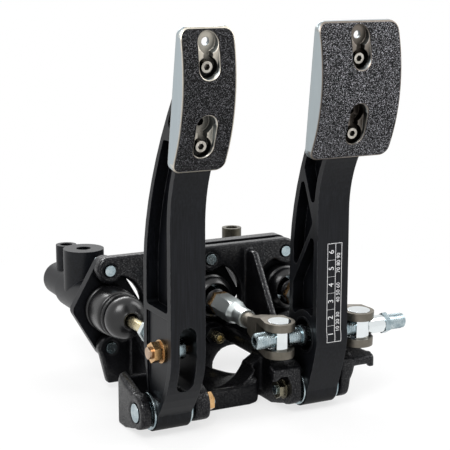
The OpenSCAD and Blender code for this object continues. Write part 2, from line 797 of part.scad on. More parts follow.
module clutch_eye() {
  width = slot_w * 0.55;
  neck = clutch_pin_r * 2.4;
  neck_end = 44;
  color(zinc) from_pivot() at_clutch_rod() difference() {
    union() {
      rod_x(-width / 2, width / 2, clutch_pin_r * 1.7);
      rod_y(0, neck + 1, width / 2);
      rod_y(neck, neck_end, slot_w / 2 - 0.5);
    }
    rod_x(-width, width, clutch_pin_r + run_gap);
    rod_y(20, neck_end + 1, rod_r + fit_gap);
  }
}

module clutch_jam_nut() {
  color(gold) from_pivot() at_clutch_rod() difference() {
    hex_y(44.2, 48.5, rod_r * 3.2);
    rod_y(40, 50, rod_r + fit_gap);
  }
}

module clutch_pushrod() {
  color(gold) from_pivot() at_clutch_rod() ball_rod(21, clutch_rod_len);
}

// Round rod that ends in a ball
module ball_rod(start, length) {
  tip_r = rod_r * 1.15;
  rod_y(start, length - tip_r, rod_r);
  translate([0, length - tip_r, 0]) sphere(r = tip_r);
}

// Brake linkage

module bearing_sleeve() {
  half = arm_w / 2 + 0.4;
  color(zinc) from_pivot() at_bar() difference() {
    rod_x(-half, half, sleeve_out);
    rod_x(-half - 1, half + 1, race_r);
  }
}

module bearing_ball() {
  half = ball_r * 0.7;
  color(zinc) from_pivot() at_bar() difference() {
    intersection() {
      sphere(r = ball_r);
      rod_x(-half, half, ball_r + 1);
    }
    rod_x(-half - 1, half + 1, bar_r + run_gap);
  }
}

module balance_bar() {
  x0 = left_x - brake_x - bar_left;
  x1 = right_x - brake_x + bar_right;
  color(zinc) from_pivot() at_bar() difference() {
    union() {
      rod_x(x0 + 1, end_nut_x + end_nut_len, bar_r);
      rod_x(end_nut_x, x1 - 1, stub_r);
      translate([x0, 0, 0]) rotate([0, 90, 0]) cylinder(h = 1, r1 = bar_r - 1, r2 = bar_r);
      translate([x1 - 1, 0, 0]) rotate([0, 90, 0]) cylinder(h = 1, r1 = stub_r, r2 = stub_r - 1);
    }
    rod_x(x0 - 1, x0 + bar_hole_depth, bar_hole_r);
  }
}

module bar_ring(x0, x1, r) {
  difference() {
    rod_x(x0, x1, r);
    rod_x(x0 - 1, x1 + 1, bar_r + fit_gap);
  }
}

module bar_dust_seals() {
  x0 = arm_w / 2 + 0.9;
  color(rubber_black) from_pivot() at_bar() {
    bar_ring(x0, x0 + 1.4, bar_r * 1.3);
    bar_ring(-x0 - 1.4, -x0, bar_r * 1.3);
  }
}

module bar_washers() {
  x0 = arm_w / 2 + 2.35;
  color(zinc) from_pivot() at_bar() {
    bar_ring(x0, x0 + 1.5, bar_r * 1.25);
    bar_ring(-x0 - 1.5, -x0, bar_r * 1.25);
  }
}

module bar_end_sleeve() {
  color(zinc) from_pivot() at_bar() bar_ring(end_nut_x - end_sleeve_len, end_nut_x, clevis_gap / 2 - 0.4);
}

module bar_end_nut() {
  color(zinc) from_pivot() at_bar() difference() {
    hex_x(end_nut_x + 0.1, end_nut_x + end_nut_len, bar_r * 2.35);
    rod_x(end_nut_x - 1, end_nut_x + end_nut_len + 1, bar_r + fit_gap);
  }
}

module trunnion(x) {
  color(zinc) from_pivot() at_brake_rod(x) difference() {
    translate([0, 0, -clevis_half - 0.3]) cylinder(h = 2 * clevis_half + 0.6, r = trunnion_r);
    for (side = [-1, 1])
      translate([side * (trunnion_flats / 2 + trunnion_r) - trunnion_r, -trunnion_r - 1, 0.1 - clevis_gap / 2])
        cube([2 * trunnion_r, 2 * trunnion_r + 2, clevis_gap - 0.2]);
    rod_x(-trunnion_r - 1, trunnion_r + 1, bar_r + run_gap);
  }
}

module clevis(x) {
  neck_r = 5.4;
  web_y = trunnion_r + 11;
  fork_end = 36;
  neck_end = 50;
  color(phosphate) from_pivot() at_brake_rod(x) difference() {
    union() {
      intersection() {
        translate([0, 0, -clevis_half]) linear_extrude(2 * clevis_half) {
          circle(r = clevis_r);
          polygon([[-clevis_r * 0.93, clevis_r * 0.36], [-neck_r, fork_end], [neck_r, fork_end],
                   [clevis_r * 0.93, clevis_r * 0.36]]);
        }
        slab_x(-clevis_r, clevis_r) polygon([
          [-clevis_r, -clevis_half], [clevis_r, -clevis_half], [fork_end + 1, -neck_r],
          [fork_end + 1, neck_r], [clevis_r, clevis_half], [-clevis_r, clevis_half]
        ]);
      }
      rod_y(fork_end - 4, neck_end, neck_r);
    }
    translate([0, 0, -clevis_half - 1]) cylinder(h = 2 * clevis_half + 2, r = trunnion_r + run_gap);
    translate([-clevis_r - 1, -clevis_r - 1, -clevis_gap / 2])
      cube([2 * clevis_r + 2, clevis_r + 1 + web_y, clevis_gap]);
  }
}

module coupling(x) {
  start = 46;
  waist = 58;
  end = 86;
  color(zinc) from_pivot() at_brake_rod(x) difference() {
    union() {
      rod_y(start, waist, coupling_af * 0.42);
      cone_y(waist, waist + 5, coupling_af * 0.42, coupling_af * 0.52);
      intersection() {
        hex_y(waist + 5, end, coupling_af);
        cone_y(waist + 5, end + 30, coupling_af * 0.54, coupling_af * 0.9);
      }
    }
    rod_y(start - 1, 51, 5.4 + fit_gap);
    rod_y(52, end + 1, rod_r + fit_gap);
  }
}

module jam_nut(x) {
  color(gold) from_pivot() at_brake_rod(x) difference() {
    hex_y(86.2, 91, coupling_af);
    rod_y(86, 92, rod_r + fit_gap);
  }
}

module brake_pushrod(x) { color(zinc) from_pivot() at_brake_rod(x) ball_rod(53, brake_rod_len); }

module left_trunnion() { trunnion(left_x); }

module left_clevis() { clevis(left_x); }

module left_coupling() { coupling(left_x); }

module left_jam_nut() { jam_nut(left_x); }

module left_pushrod() { brake_pushrod(left_x); }

module right_trunnion() { trunnion(right_x); }

module right_clevis() { clevis(right_x); }

module right_coupling() { coupling(right_x); }

module right_jam_nut() { jam_nut(right_x); }

module right_pushrod() { brake_pushrod(right_x); }

// Master cylinders

module flange_outline() {
  hull($fn = hull_fn) {
    for (z = [-bolt_half, bolt_half]) translate([0, z]) circle(r = lug_r * 0.9, $fn = hull_fn);
    for (x = [-1, 1]) translate([x * (flange_half - 6), 0]) circle(r = 6, $fn = hull_fn);
  }
}

module barrel() {
  r = 5;
  step = 62;
  translate([0, flange_back - 1, 0]) rotate([-90, 0, 0]) rotate_extrude() {
    square([barrel_r, step]);
    square([barrel_end_r - r, barrel_len + 1]);
    square([barrel_end_r, barrel_len + 1 - r]);
    translate([barrel_end_r - r, barrel_len + 1 - r]) circle(r = r);
    polygon([[0, step], [barrel_r, step], [barrel_end_r, step + 4], [0, step + 4]]);
  }
}

module master_cylinder(x, inlet_z) {
  bore_end = flange_back + barrel_len - 9;
  inlet_h = inlet_z - cylinder_h;
  outlet_h = outlet_z - cylinder_h;
  color(arm_black) from_pivot() at_cylinder(x) difference() {
    union() {
      slab_y(wall_back, flange_back) flange_outline();
      rod_y(nose_y, wall_back + 1, nose_out);
      barrel();
      translate([0, flange_back + inlet_y, 0]) cylinder(h = inlet_h, r = barrel_r - 0.3);
      translate([0, flange_back + outlet_y, 0]) cylinder(h = outlet_h, r = outlet_r + 3.2);
    }
    rod_y(nose_y - 1, nose_y + nose_len - 2, bore_r + 1.5);
    rod_y(nose_y - 1, bore_end, bore_r);
    translate([0, flange_back + inlet_y, inlet_h - inlet_depth]) cylinder(h = inlet_depth + 1, r = inlet_r);
    translate([0, flange_back + inlet_y, 0]) cylinder(h = inlet_h, r = 1.5);
    translate([0, flange_back + outlet_y, outlet_h - outlet_depth])
      cylinder(h = outlet_depth + 1, r = outlet_r);
    translate([0, flange_back + outlet_y, 0]) cylinder(h = outlet_h, r = 1.5);
    for (z = [-bolt_half, bolt_half])
      translate([0, 0, z]) rod_y(wall_back - 1, flange_back + 1, flange_bolt_r + hole_gap);
  }
}

module clutch_cylinder() { master_cylinder(clutch_x, clutch_inlet_z); }

module left_cylinder() { master_cylinder(left_x, brake_inlet_z); }

module right_cylinder() { master_cylinder(right_x, brake_inlet_z); }

// Bolt with its head behind the flange and its end at the front of the wall
module flange_bolt(front, head) {
  head_h = flange_bolt_r * 1.35;
  rod_y(front, head + 1, flange_bolt_r);
  difference() {
    hex_y(head, head + head_h, flange_bolt_r * 3.2);
    rod_y(head + head_h - 0.5, head + head_h + 1, flange_bolt_r);
  }
}

module flange_bolts() {
  bar_back = flange_back + clamp_bar_t;
  color(zinc) from_pivot() {
    translate([clutch_x, 0, bolt_low]) flange_bolt(wall_y - 0.5, flange_back);
    translate([clutch_x, 0, bolt_high]) flange_bolt(wall_y - 0.5, flange_back);
    translate([left_x, 0, bolt_high]) flange_bolt(wall_y - 0.5, bar_back);
    translate([right_x, 0, bolt_high]) flange_bolt(wall_y - 0.5, bar_back);
    translate([right_x, 0, bolt_low]) flange_bolt(wall_y - 0.5, flange_back);
  }
}

module long_flange_bolt() {
  color(zinc) from_pivot() translate([left_x, 0, bolt_low]) difference() {
    flange_bolt(wall_y - 14, flange_back);
    rod_y(wall_y - 15, wall_y - 8, flange_bolt_r * 0.55);
  }
}

module long_bolt_nut() {
  color(gold) from_pivot() translate([left_x, 0, bolt_low]) difference() {
    hex_y(wall_y - 6, wall_y, flange_bolt_r * 3.2);
    rod_y(wall_y - 7, wall_y + 1, flange_bolt_r + fit_gap);
  }
}

module clamp_bar() {
  color(frame_black) from_pivot() difference() {
    slab_y(flange_back, flange_back + clamp_bar_t) {
      for (x = [left_x, right_x]) translate([x, bolt_high]) circle(r = lug_r);
      translate([left_x, bolt_high - lug_r]) square([right_x - left_x, 2 * lug_r]);
    }
    for (x = [left_x, right_x])
      translate([x, 0, bolt_high])
        rod_y(flange_back - 1, flange_back + clamp_bar_t + 1, flange_bolt_r + hole_gap);
  }
}

module retaining_rings() {
  thick = 1.2;
  color(zinc) from_pivot() for (x = cylinder_xs) at_cylinder(x) difference() {
    rod_y(wall_back - 2 - thick, wall_back - 2, bore_r + 1.5 - fit_gap);
    rod_y(wall_back - 8, wall_back, bore_r - 2);
    translate([-2, wall_back - 8, -20]) cube([4, 10, 12]);
  }
}

// Rubber boot: a bead over the cylinder's nose, a groove and a dome down to the rod
module boot(length, bead_len, mouth_r) {
  bead_r = nose_out + 3;
  dome_r = nose_out + 1.2;
  groove = 2.5;
  inner = nose_out + side_gap;
  dome_end = [mouth_r + boot_t, length - 0.4];
  outer = concat(
    [[inner, 0.6], [bead_r, 0.6], [bead_r, bead_len], [dome_r - 1, bead_len + 0.6],
     [dome_r - 1, bead_len + groove - 0.6], [dome_r, bead_len + groove]],
    bend([dome_r, bead_len + groove], [dome_r, length - 0.4], dome_end)
  );
  bore = concat(
    [[mouth_r, length], [mouth_r, length - boot_t - 0.4]],
    bend([mouth_r, length - boot_t - 0.4], [dome_r - boot_t - 1, length - boot_t - 0.6],
         [dome_r - boot_t - 1, nose_len + 0.4]),
    [[inner, nose_len + 0.3]]
  );
  rotate([90, 0, 0]) rotate_extrude() polygon(concat(outer, [[mouth_r + boot_t, length]], bore));
}

// Long boot: a bead, a rounded shoulder, two grooves with a ring between them, and a dome
module ribbed_boot(length, mouth_r) {
  bead_r = nose_out + 3;
  ring_r = nose_out + 1.3;
  groove_r = nose_out - 0.5;
  bead_len = nose_len + 2;
  dome_y = length - 12.5;
  ring_y = dome_y - 5.5;
  inner = nose_out + side_gap;
  bore_r0 = groove_r - boot_t;
  outer = concat(
    [[inner, 0.6], [bead_r, 0.6], [bead_r, bead_len], [bead_r - 0.8, bead_len + 0.6]],
    bend([bead_r - 0.8, bead_len + 0.6], [bead_r, ring_y - 6], [ring_r, ring_y - 2]),
    [[groove_r, ring_y - 1.6], [groove_r, ring_y], [ring_r, ring_y + 0.6], [ring_r, ring_y + 2.6],
     [groove_r, ring_y + 3.2], [groove_r, dome_y - 0.6], [ring_r - 0.4, dome_y]],
    bend([ring_r - 0.4, dome_y], [ring_r - 0.4, length - 0.4], [mouth_r + boot_t, length - 0.4])
  );
  bore = concat(
    [[mouth_r, length], [mouth_r, length - boot_t - 0.4]],
    bend([mouth_r, length - boot_t - 0.4], [bore_r0, length - boot_t - 0.6], [bore_r0, dome_y]),
    [[bore_r0, nose_len + 0.8], [inner, nose_len + 0.3]]
  );
  rotate([90, 0, 0]) rotate_extrude() polygon(concat(outer, [[mouth_r + boot_t, length]], bore));
}

module boot_at(x, length, bead_len, mouth_r) {
  color(rubber_black) from_pivot() at_cylinder(x) translate([0, wall_back, 0]) boot(length, bead_len, mouth_r);
}

module clutch_boot() {
  color(rubber_black) from_pivot() at_cylinder(clutch_x) translate([0, wall_back, 0])
    ribbed_boot(clutch_boot_len, rod_r + 0.9);
}

module left_boot() { boot_at(left_x, brake_boot_len, 7, bore_r - 1); }

module right_boot() { boot_at(right_x, brake_boot_len, 7, bore_r - 1); }

module piston(x) {
  r = bore_r - run_gap;
  land = 5;
  color(pad_grey) from_pivot() at_cylinder(x) difference() {
    union() {
      rod_y(piston_y, piston_y + land, r);
      rod_y(piston_y + land - 1, piston_y + piston_len, r - 2.5);
      rod_y(piston_y + piston_len - 2 * land, piston_y + piston_len - land, r);
    }
    cone_y(piston_y - 0.01, cup_y, r - 1.5, rod_r);
    translate([0, cup_y - rod_r, 0]) sphere(r = rod_r * 1.15 + 0.3);
  }
}

// Cup seal in front of the piston's second land
module seal(x) {
  y0 = piston_y + piston_len - 5;
  color(rubber_black) from_pivot() at_cylinder(x) difference() {
    rod_y(y0, y0 + 4, bore_r - run_gap);
    rod_y(y0 - 1, y0 + 5, bore_r - run_gap - 2.5 + fit_gap);
  }
}

// Coil spring between the piston and the closed end of the bore
module coil_spring(x) {
  wire = 0.9;
  turns = 6;
  sides = 6;
  per_turn = 12;
  y0 = piston_y + piston_len + wire + 0.2;
  y1 = flange_back + barrel_len - 9 - wire - 0.2;
  coil_r = bore_r - 3;
  count = turns * per_turn;
  points = [
    for (i = [0:count]) for (k = [0:sides - 1])
      let (a = 360 * i / per_turn, b = 360 * k / sides, r = coil_r + wire * cos(b))
      [r * cos(a), y0 + (y1 - y0) * i / count + wire * sin(b), r * sin(a)]
  ];
  walls = [
    for (i = [0:count - 1]) for (k = [0:sides - 1])
      let (n = (k + 1) % sides)
      [i * sides + k, i * sides + n, (i + 1) * sides + n, (i + 1) * sides + k]
  ];
  caps = [[for (k = [sides - 1:-1:0]) k], [for (k = [0:sides - 1]) count * sides + k]];
  color(zinc) from_pivot() at_cylinder(x) polyhedron(points, concat(walls, caps));
}

module clutch_piston() { piston(clutch_x); }

module left_piston() { piston(left_x); }

module right_piston() { piston(right_x); }

module clutch_seal() { seal(clutch_x); }

module left_seal() { seal(left_x); }

module right_seal() { seal(right_x); }

module clutch_spring() { coil_spring(clutch_x); }

module left_spring() { coil_spring(left_x); }

module right_spring() { coil_spring(right_x); }

frame();
pivot_bolts();
pivot_sleeves();
pivot_nuts();
thrust_washers();
clutch_cylinder();
left_cylinder();
right_cylinder();
flange_bolts();
long_flange_bolt();
long_bolt_nut();
clamp_bar();
retaining_rings();
clutch_boot();
left_boot();
right_boot();
clutch_spring();
left_spring();
right_spring();
clutch_arm();
clutch_bushes();
clutch_pad();
clutch_grip();
clutch_pad_screws();
clutch_pin_bolt();
clutch_pin_nut();
clutch_eye();
clutch_pushrod();
clutch_jam_nut();
clutch_piston();
clutch_seal();
brake_arm();
brake_bushes();
brake_pad();
brake_grip();
brake_pad_screws();
bearing_sleeve();
bearing_ball();
balance_bar();
bar_washers();
bar_dust_seals();
bar_end_sleeve();
bar_end_nut();
left_trunnion();
left_clevis();
left_coupling();
left_jam_nut();
left_pushrod();
right_trunnion();
right_clevis();
right_coupling();
right_jam_nut();
right_pushrod();
left_piston();
left_seal();
right_piston();
right_seal();
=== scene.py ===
"""Looks of a floor-mounted clutch and brake pedal box.

Sets the finish of every node and adds the pieces that the solids hold only in plain form: the cast
frame, the bar's threads, boots, return springs, the pads' wells and a printed table. Stage, light and
camera follow.
"""
import json
import math

import bmesh
import bpy
from mathutils import Matrix, Vector


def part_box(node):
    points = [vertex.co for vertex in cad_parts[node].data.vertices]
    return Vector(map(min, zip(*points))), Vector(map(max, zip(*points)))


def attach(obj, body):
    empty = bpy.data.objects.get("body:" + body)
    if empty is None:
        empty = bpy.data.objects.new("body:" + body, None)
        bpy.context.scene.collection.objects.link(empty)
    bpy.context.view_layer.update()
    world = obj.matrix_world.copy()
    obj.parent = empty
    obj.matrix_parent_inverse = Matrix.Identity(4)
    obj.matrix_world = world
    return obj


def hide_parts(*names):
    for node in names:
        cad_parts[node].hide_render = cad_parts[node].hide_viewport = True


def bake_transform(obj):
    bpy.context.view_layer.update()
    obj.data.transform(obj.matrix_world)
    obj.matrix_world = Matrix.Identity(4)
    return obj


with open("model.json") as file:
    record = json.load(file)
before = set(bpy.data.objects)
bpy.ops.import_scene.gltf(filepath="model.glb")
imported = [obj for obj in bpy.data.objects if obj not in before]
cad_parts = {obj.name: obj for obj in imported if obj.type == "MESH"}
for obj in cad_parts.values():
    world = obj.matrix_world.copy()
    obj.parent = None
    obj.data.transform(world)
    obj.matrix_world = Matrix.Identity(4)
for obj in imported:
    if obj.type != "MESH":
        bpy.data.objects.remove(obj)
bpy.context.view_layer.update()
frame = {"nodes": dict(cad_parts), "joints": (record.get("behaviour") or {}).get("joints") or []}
nodes = frame["nodes"]

# All lengths in Blender are in metres; points closer than DOUBLES are one
MM = 0.001
DOUBLES = 1e-6
FLOAT, VECTOR = "NodeSocketFloat", "NodeSocketVector"
# Sockets of the Mix node that take and give colours
COLOUR_A, COLOUR_B, COLOUR_OUT = 6, 7, 2
# Share of open space that a corner and an open face see; the painted shade mask runs between them
CORNER, OPEN = 0.25, 0.85


# Shader building blocks

def shader_node(tree, kind, links=(), **values):
    """Adds a node; values are its settings or the names of its inputs."""
    made = tree.nodes.new(kind)
    for name, value in values.items():
        if hasattr(made, name):
            setattr(made, name, value)
        else:
            made.inputs[name.replace("_", " ")].default_value = value
    for socket, source in links:
        tree.links.new(source, made.inputs[socket])
    return made


def maths(tree, operation, one, other, use_clamp=False):
    """The result of an operation on two sockets."""
    links = [(0, one), (1, other)]
    return shader_node(tree, "ShaderNodeMath", links, operation=operation, use_clamp=use_clamp).outputs[0]


def map_range(tree, source, start, end, low=0.0, high=1.0):
    """A value that goes from low to high as its source goes from start to end."""
    limits = {"From_Min": start, "From_Max": end, "To_Min": low, "To_Max": high}
    return shader_node(tree, "ShaderNodeMapRange", [("Value", source)], **limits).outputs["Result"]


def object_place(tree):
    """Where a point of the surface lies in the part's frame."""
    return shader_node(tree, "ShaderNodeTexCoord").outputs["Object"]


def noise(tree, place, scale, detail, rough):
    """A noise whose scale comes from a socket."""
    links = [("Vector", place), ("Scale", scale)]
    return shader_node(tree, "ShaderNodeTexNoise", links, Detail=detail, Roughness=rough).outputs["Fac"]


def node_group(name, inputs, outputs):
    """An empty shader group with float or vector sockets; returns the tree and its two end nodes."""
    tree = bpy.data.node_groups.new(name, "ShaderNodeTree")
    for label, kind, value in inputs:
        socket = tree.interface.new_socket(label, in_out="INPUT", socket_type=kind)
        socket.default_value = value
    for label, kind in outputs:
        tree.interface.new_socket(label, in_out="OUTPUT", socket_type=kind)
    return tree, tree.nodes.new("NodeGroupInput"), tree.nodes.new("NodeGroupOutput")


def make_soft_edge():
    """Rounds a sharp edge in shading and finds it, broken up in patches; finishes tint the edges it finds,
    partly as wear and partly as painted highlight.
    """
    flat_cosine, edge_cosine = 0.995, 0.82
    patch_start, patch_full = 0.35, 0.62
    inputs = [("Radius", FLOAT, 0.0006), ("Breakup", FLOAT, 260.0)]
    tree, given, out = node_group("soft_edge", inputs, [("Normal", VECTOR), ("Edge", FLOAT)])
    bevel = shader_node(tree, "ShaderNodeBevel", [("Radius", given.outputs["Radius"])], samples=6)
    flat = shader_node(tree, "ShaderNodeNewGeometry")
    normals = [(0, bevel.outputs[0]), (1, flat.outputs["True Normal"])]
    same = shader_node(tree, "ShaderNodeVectorMath", normals, operation="DOT_PRODUCT")
    bent = map_range(tree, same.outputs["Value"], flat_cosine, edge_cosine)
    patches = noise(tree, object_place(tree), given.outputs["Breakup"], detail=3.0, rough=0.6)
    edge_mark = maths(tree, "MULTIPLY", bent, map_range(tree, patches, patch_start, patch_full), use_clamp=True)
    tree.links.new(bevel.outputs[0], out.inputs["Normal"])
    tree.links.new(edge_mark, out.inputs["Edge"])
    return tree


def make_grain():
    """Fine bumps and slow tone changes of a coat or a bare surface."""
    inputs = [("Scale", FLOAT, 900.0), ("Stretch", VECTOR, (1.0, 1.0, 1.0)), ("Tone Scale", FLOAT, 40.0)]
    tree, given, out = node_group("grain", inputs, [("Height", FLOAT), ("Tone", FLOAT)])
    factors = [(0, object_place(tree)), (1, given.outputs["Stretch"])]
    pulled = shader_node(tree, "ShaderNodeVectorMath", factors, operation="MULTIPLY").outputs[0]
    fine = noise(tree, pulled, given.outputs["Scale"], detail=4.0, rough=0.55)
    slow = noise(tree, pulled, given.outputs["Tone Scale"], detail=3.0, rough=0.6)
    tree.links.new(fine, out.inputs["Height"])
    tree.links.new(slow, out.inputs["Tone"])
    return tree


def make_grit():
    """Sharp grains of a grip sheet in two sizes: a height and a sparkle mask, which picks grains for a
    painted glint.
    """
    finer_by = 1.9
    dull, bright = 0.46, 0.8
    outputs = [("Height", FLOAT), ("Sparkle", FLOAT)]
    tree, given, out = node_group("grit", [("Scale", FLOAT, 2400.0)], outputs)
    place = object_place(tree)
    coarse = given.outputs["Scale"]
    fine = shader_node(tree, "ShaderNodeMath", [(0, coarse)], operation="MULTIPLY")
    fine.inputs[1].default_value = finer_by
    tints = []
    for scale in (coarse, fine.outputs[0]):
        cells = shader_node(tree, "ShaderNodeTexVoronoi", [("Vector", place), ("Scale", scale)])
        parts = shader_node(tree, "ShaderNodeSeparateColor", [("Color", cells.outputs["Color"])])
        tints.append(parts.outputs)
    lit = maths(tree, "MULTIPLY", tints[0]["Red"], tints[1]["Red"])
    tall = maths(tree, "ADD", tints[0]["Green"], tints[1]["Green"])
    tree.links.new(tall, out.inputs["Height"])
    tree.links.new(map_range(tree, lit, dull, bright), out.inputs["Sparkle"])
    return tree


SOFT_EDGE, GRAIN, GRIT = make_soft_edge(), make_grain(), make_grit()


class Finish:
    """A material that starts with its shader, a rounded edge and a grain."""

    def __init__(self, name, metallic=0.0, edge=0.0006, grain=900.0, stretch=(1, 1, 1), tone=40.0,
                 bump=0.0002, depth=0.3):
        """Places the nodes; edge and bump are in metres, grain and tone are scales of noise."""
        self.material = bpy.data.materials.new(name)
        self.material.use_nodes = True
        self.tree = self.material.node_tree
        self.tree.nodes.clear()
        self.shader = shader_node(self.tree, "ShaderNodeBsdfPrincipled")
        out = shader_node(self.tree, "ShaderNodeOutputMaterial")
        self.tree.links.new(self.shader.outputs[0], out.inputs["Surface"])
        self.plain(Metallic=metallic)
        edges = self.place_group(SOFT_EDGE, Radius=edge)
        self.normal = edges.outputs["Normal"]
        self.edge = edges.outputs["Edge"]
        grains = self.place_group(GRAIN, Scale=grain, Tone_Scale=tone, Stretch=stretch)
        self.height = grains.outputs["Height"]
        self.tone = grains.outputs["Tone"]
        links = [("Normal", self.normal), ("Height", self.height)]
        self.bump = shader_node(self.tree, "ShaderNodeBump", links, Strength=depth, Distance=bump)
        self.join("Normal", self.bump.outputs[0])

    def place_group(self, group, **values):
        """Adds a shared group with values of its own."""
        made = self.tree.nodes.new("ShaderNodeGroup")
        made.node_tree = group
        for name, value in values.items():
            made.inputs[name.replace("_", " ")].default_value = value
        return made

    def plain(self, **values):
        """Sets shader sockets that are the same all over the surface."""
        for name, value in values.items():
            self.shader.inputs[name.replace("_", " ")].default_value = value

    def join(self, socket, source):
        """Feeds a socket of the shader."""
        self.tree.links.new(source, self.shader.inputs[socket])

    def painted_shade(self, reach, most=1.0):
        """A painted shade mask from ambient occlusion: at its most in the open, falling towards 0 in holes
        and corners.
        """
        links = [("Normal", self.normal)]
        made = shader_node(self.tree, "ShaderNodeAmbientOcclusion", links, samples=8, Distance=reach)
        return self.spread(made.outputs["AO"], 0.0, most, CORNER, OPEN)

    def ramp(self, stops):
        """A colour that follows the slow tone; stops are (position, colour)."""
        made = shader_node(self.tree, "ShaderNodeValToRGB", [("Fac", self.tone)])
        elements = made.color_ramp.elements
        while len(elements) < len(stops):
            elements.new(0.5)
        for element, (position, colour) in zip(elements, stops):
            element.position = position
            element.color = (*colour, 1)
        return made.outputs["Color"]

    def drift(self, dark, pale, start=0.3):
        """A colour that goes between two as the slow tone does."""
        return self.ramp([(start, dark), (1 - start, pale)])

    def mix(self, mask, low, high):
        """A colour between two, each of which is a plain colour or a socket."""
        made = shader_node(self.tree, "ShaderNodeMix", data_type="RGBA")
        self.tree.links.new(mask, made.inputs["Factor"])
        for socket, value in ((made.inputs[COLOUR_A], low), (made.inputs[COLOUR_B], high)):
            if isinstance(value, tuple):
                socket.default_value = (*value, 1)
            else:
                self.tree.links.new(value, socket)
        return made.outputs[COLOUR_OUT]

    def spread(self, source, low, high, start=0.3, end=0.7):
        """A value from low to high, over the middle of a noise unless start and end say otherwise."""
        return map_range(self.tree, source, start, end, low, high)

    def times(self, one, other):
        """The product of two masks."""
        return maths(self.tree, "MULTIPLY", one, other)


# Finishes

def black_casting():
    """Black coat over a casting: grainy, with small coat glints in the open that fade out in its hollows as
    painted shade, and edges lightened partly as wear and partly as painted highlight.
    """
    edge_mark = (0.03, 0.03, 0.034)
    coat = Finish("black_casting", edge=0.0009, grain=1100.0, tone=60.0, bump=0.0005, depth=0.9)
    black = coat.drift((0.0015, 0.0015, 0.002), (0.005, 0.005, 0.0058))
    # Lighter edges: partly wear, partly painted highlight
    coat.join("Base Color", coat.mix(coat.edge, black, edge_mark))
    coat.join("Roughness", coat.spread(coat.height, 0.22, 0.4))
    glints = coat.spread(coat.height, 0.12, 1.0, start=0.47, end=0.66)
    # Painted shade: the coat, with its glints, fades out in hollows and corners
    coat.join("Coat Weight", coat.times(glints, coat.painted_shade(0.04)))
    coat.plain(Coat_Roughness=0.16, Coat_IOR=1.65)
    coat.plain(Specular_IOR_Level=0.08, Specular_Tint=(0.86, 0.88, 1, 1))
    return coat.material


def black_anodised(name, stretch, grain, rough=(0.3, 0.42), shine=0.315):
    """Black anodised aluminium, brushed along one way, with edges lightened partly as wear and partly as
    painted highlight, and painted shade in its pockets, where its coat fades out too.
    """
    pocket_shade, brushed, edge_mark = (0.0005, 0.0005, 0.0006), (0.009, 0.01, 0.013), (0.075, 0.077, 0.082)
    reach = 0.02
    coat = Finish(name, edge=0.0006, grain=grain, stretch=stretch, tone=50.0, bump=0.00004, depth=0.3)
    tone = coat.drift((0.0014, 0.0016, 0.0022), (0.004, 0.0044, 0.0056), start=0.25)
    lines = coat.mix(coat.spread(coat.height, 0.0, 1.0, start=0.4, end=0.75), tone, brushed)
    # Lighter edges: partly wear, partly painted highlight
    edges = coat.mix(coat.edge, lines, edge_mark)
    # Painted shade: pockets and corners go near black
    coat.join("Base Color", coat.mix(coat.painted_shade(reach), pocket_shade, edges))
    coat.join("Roughness", coat.spread(coat.height, *rough))
    # Painted shade: the coat fades out in pockets and corners too
    coat.join("Coat Weight", coat.painted_shade(reach, shine))
    coat.plain(Coat_Roughness=rough[0])
    coat.plain(Specular_IOR_Level=0.03, Specular_Tint=(0.8, 0.86, 1, 1))
    return coat.material


def plated(name, dark, mid, pale, rough=(0.2, 0.3), grain=700.0, tone=90.0, painted_shade=0.004, shade_depth=0.25):
    """Plated steel whose tint drifts and whose holes and grooves get painted shade, as wide as given in
    metres, 0 for none.
    """
    metal = Finish(name, metallic=1.0, edge=0.0003, grain=grain, tone=tone, bump=0.00001, depth=0.12)
    colour = metal.ramp([(0.28, dark), (0.5, mid), (0.74, pale)])
    if painted_shade:
        # Painted shade: holes and grooves darken towards a share of the dark tint
        colour = metal.mix(metal.painted_shade(painted_shade), tuple(shade_depth * part for part in dark), colour)
    metal.join("Base Color", colour)
    metal.join("Roughness", metal.spread(metal.height, *rough))
    return metal.material


def machined(name, colour, edge_mark, hole_shade, reach, rough=(0.26, 0.4)):
    """Machined aluminium with tool marks along Z, wear at its edges and painted shade in its holes."""
    darker = tuple(0.9 * part for part in colour)
    marks = (1, 1, 0.06)
    metal = Finish(name, metallic=1.0, edge=0.001, stretch=marks, tone=30.0, bump=0.00002, depth=0.2)
    edges = metal.mix(metal.edge, metal.drift(darker, colour), edge_mark)
    # Painted shade: holes darken towards a near-black colour
    metal.join("Base Color", metal.mix(metal.painted_shade(reach), hole_shade, edges))
    metal.join("Roughness", metal.spread(metal.height, *rough))
    return metal.material


def grip_grit(name, dark, pale, sparkle):
    """Grit sheet in three greys with a little blue, the palest of them a painted glint on a random share of
    its grains.
    """
    blue, sparkle_blue = 1.1, 1.08
    sheet = Finish(name, edge=0.0002, grain=500.0, tone=70.0, bump=0.0004, depth=0.6)
    grains = sheet.place_group(GRIT)
    sheet.tree.links.new(grains.outputs["Height"], sheet.bump.inputs["Height"])
    tone = sheet.drift((dark, dark, dark * blue), (pale, pale, pale * blue))
    glint = (sparkle, sparkle, sparkle * sparkle_blue)
    # Painted glint: grains under the sparkle mask take a pale colour
    sheet.join("Base Color", sheet.mix(grains.outputs["Sparkle"], tone, glint))
    sheet.join("Roughness", sheet.spread(grains.outputs["Height"], 0.65, 0.45, start=0.4, end=1.5))
    sheet.plain(Specular_IOR_Level=0.1)
    return sheet.material


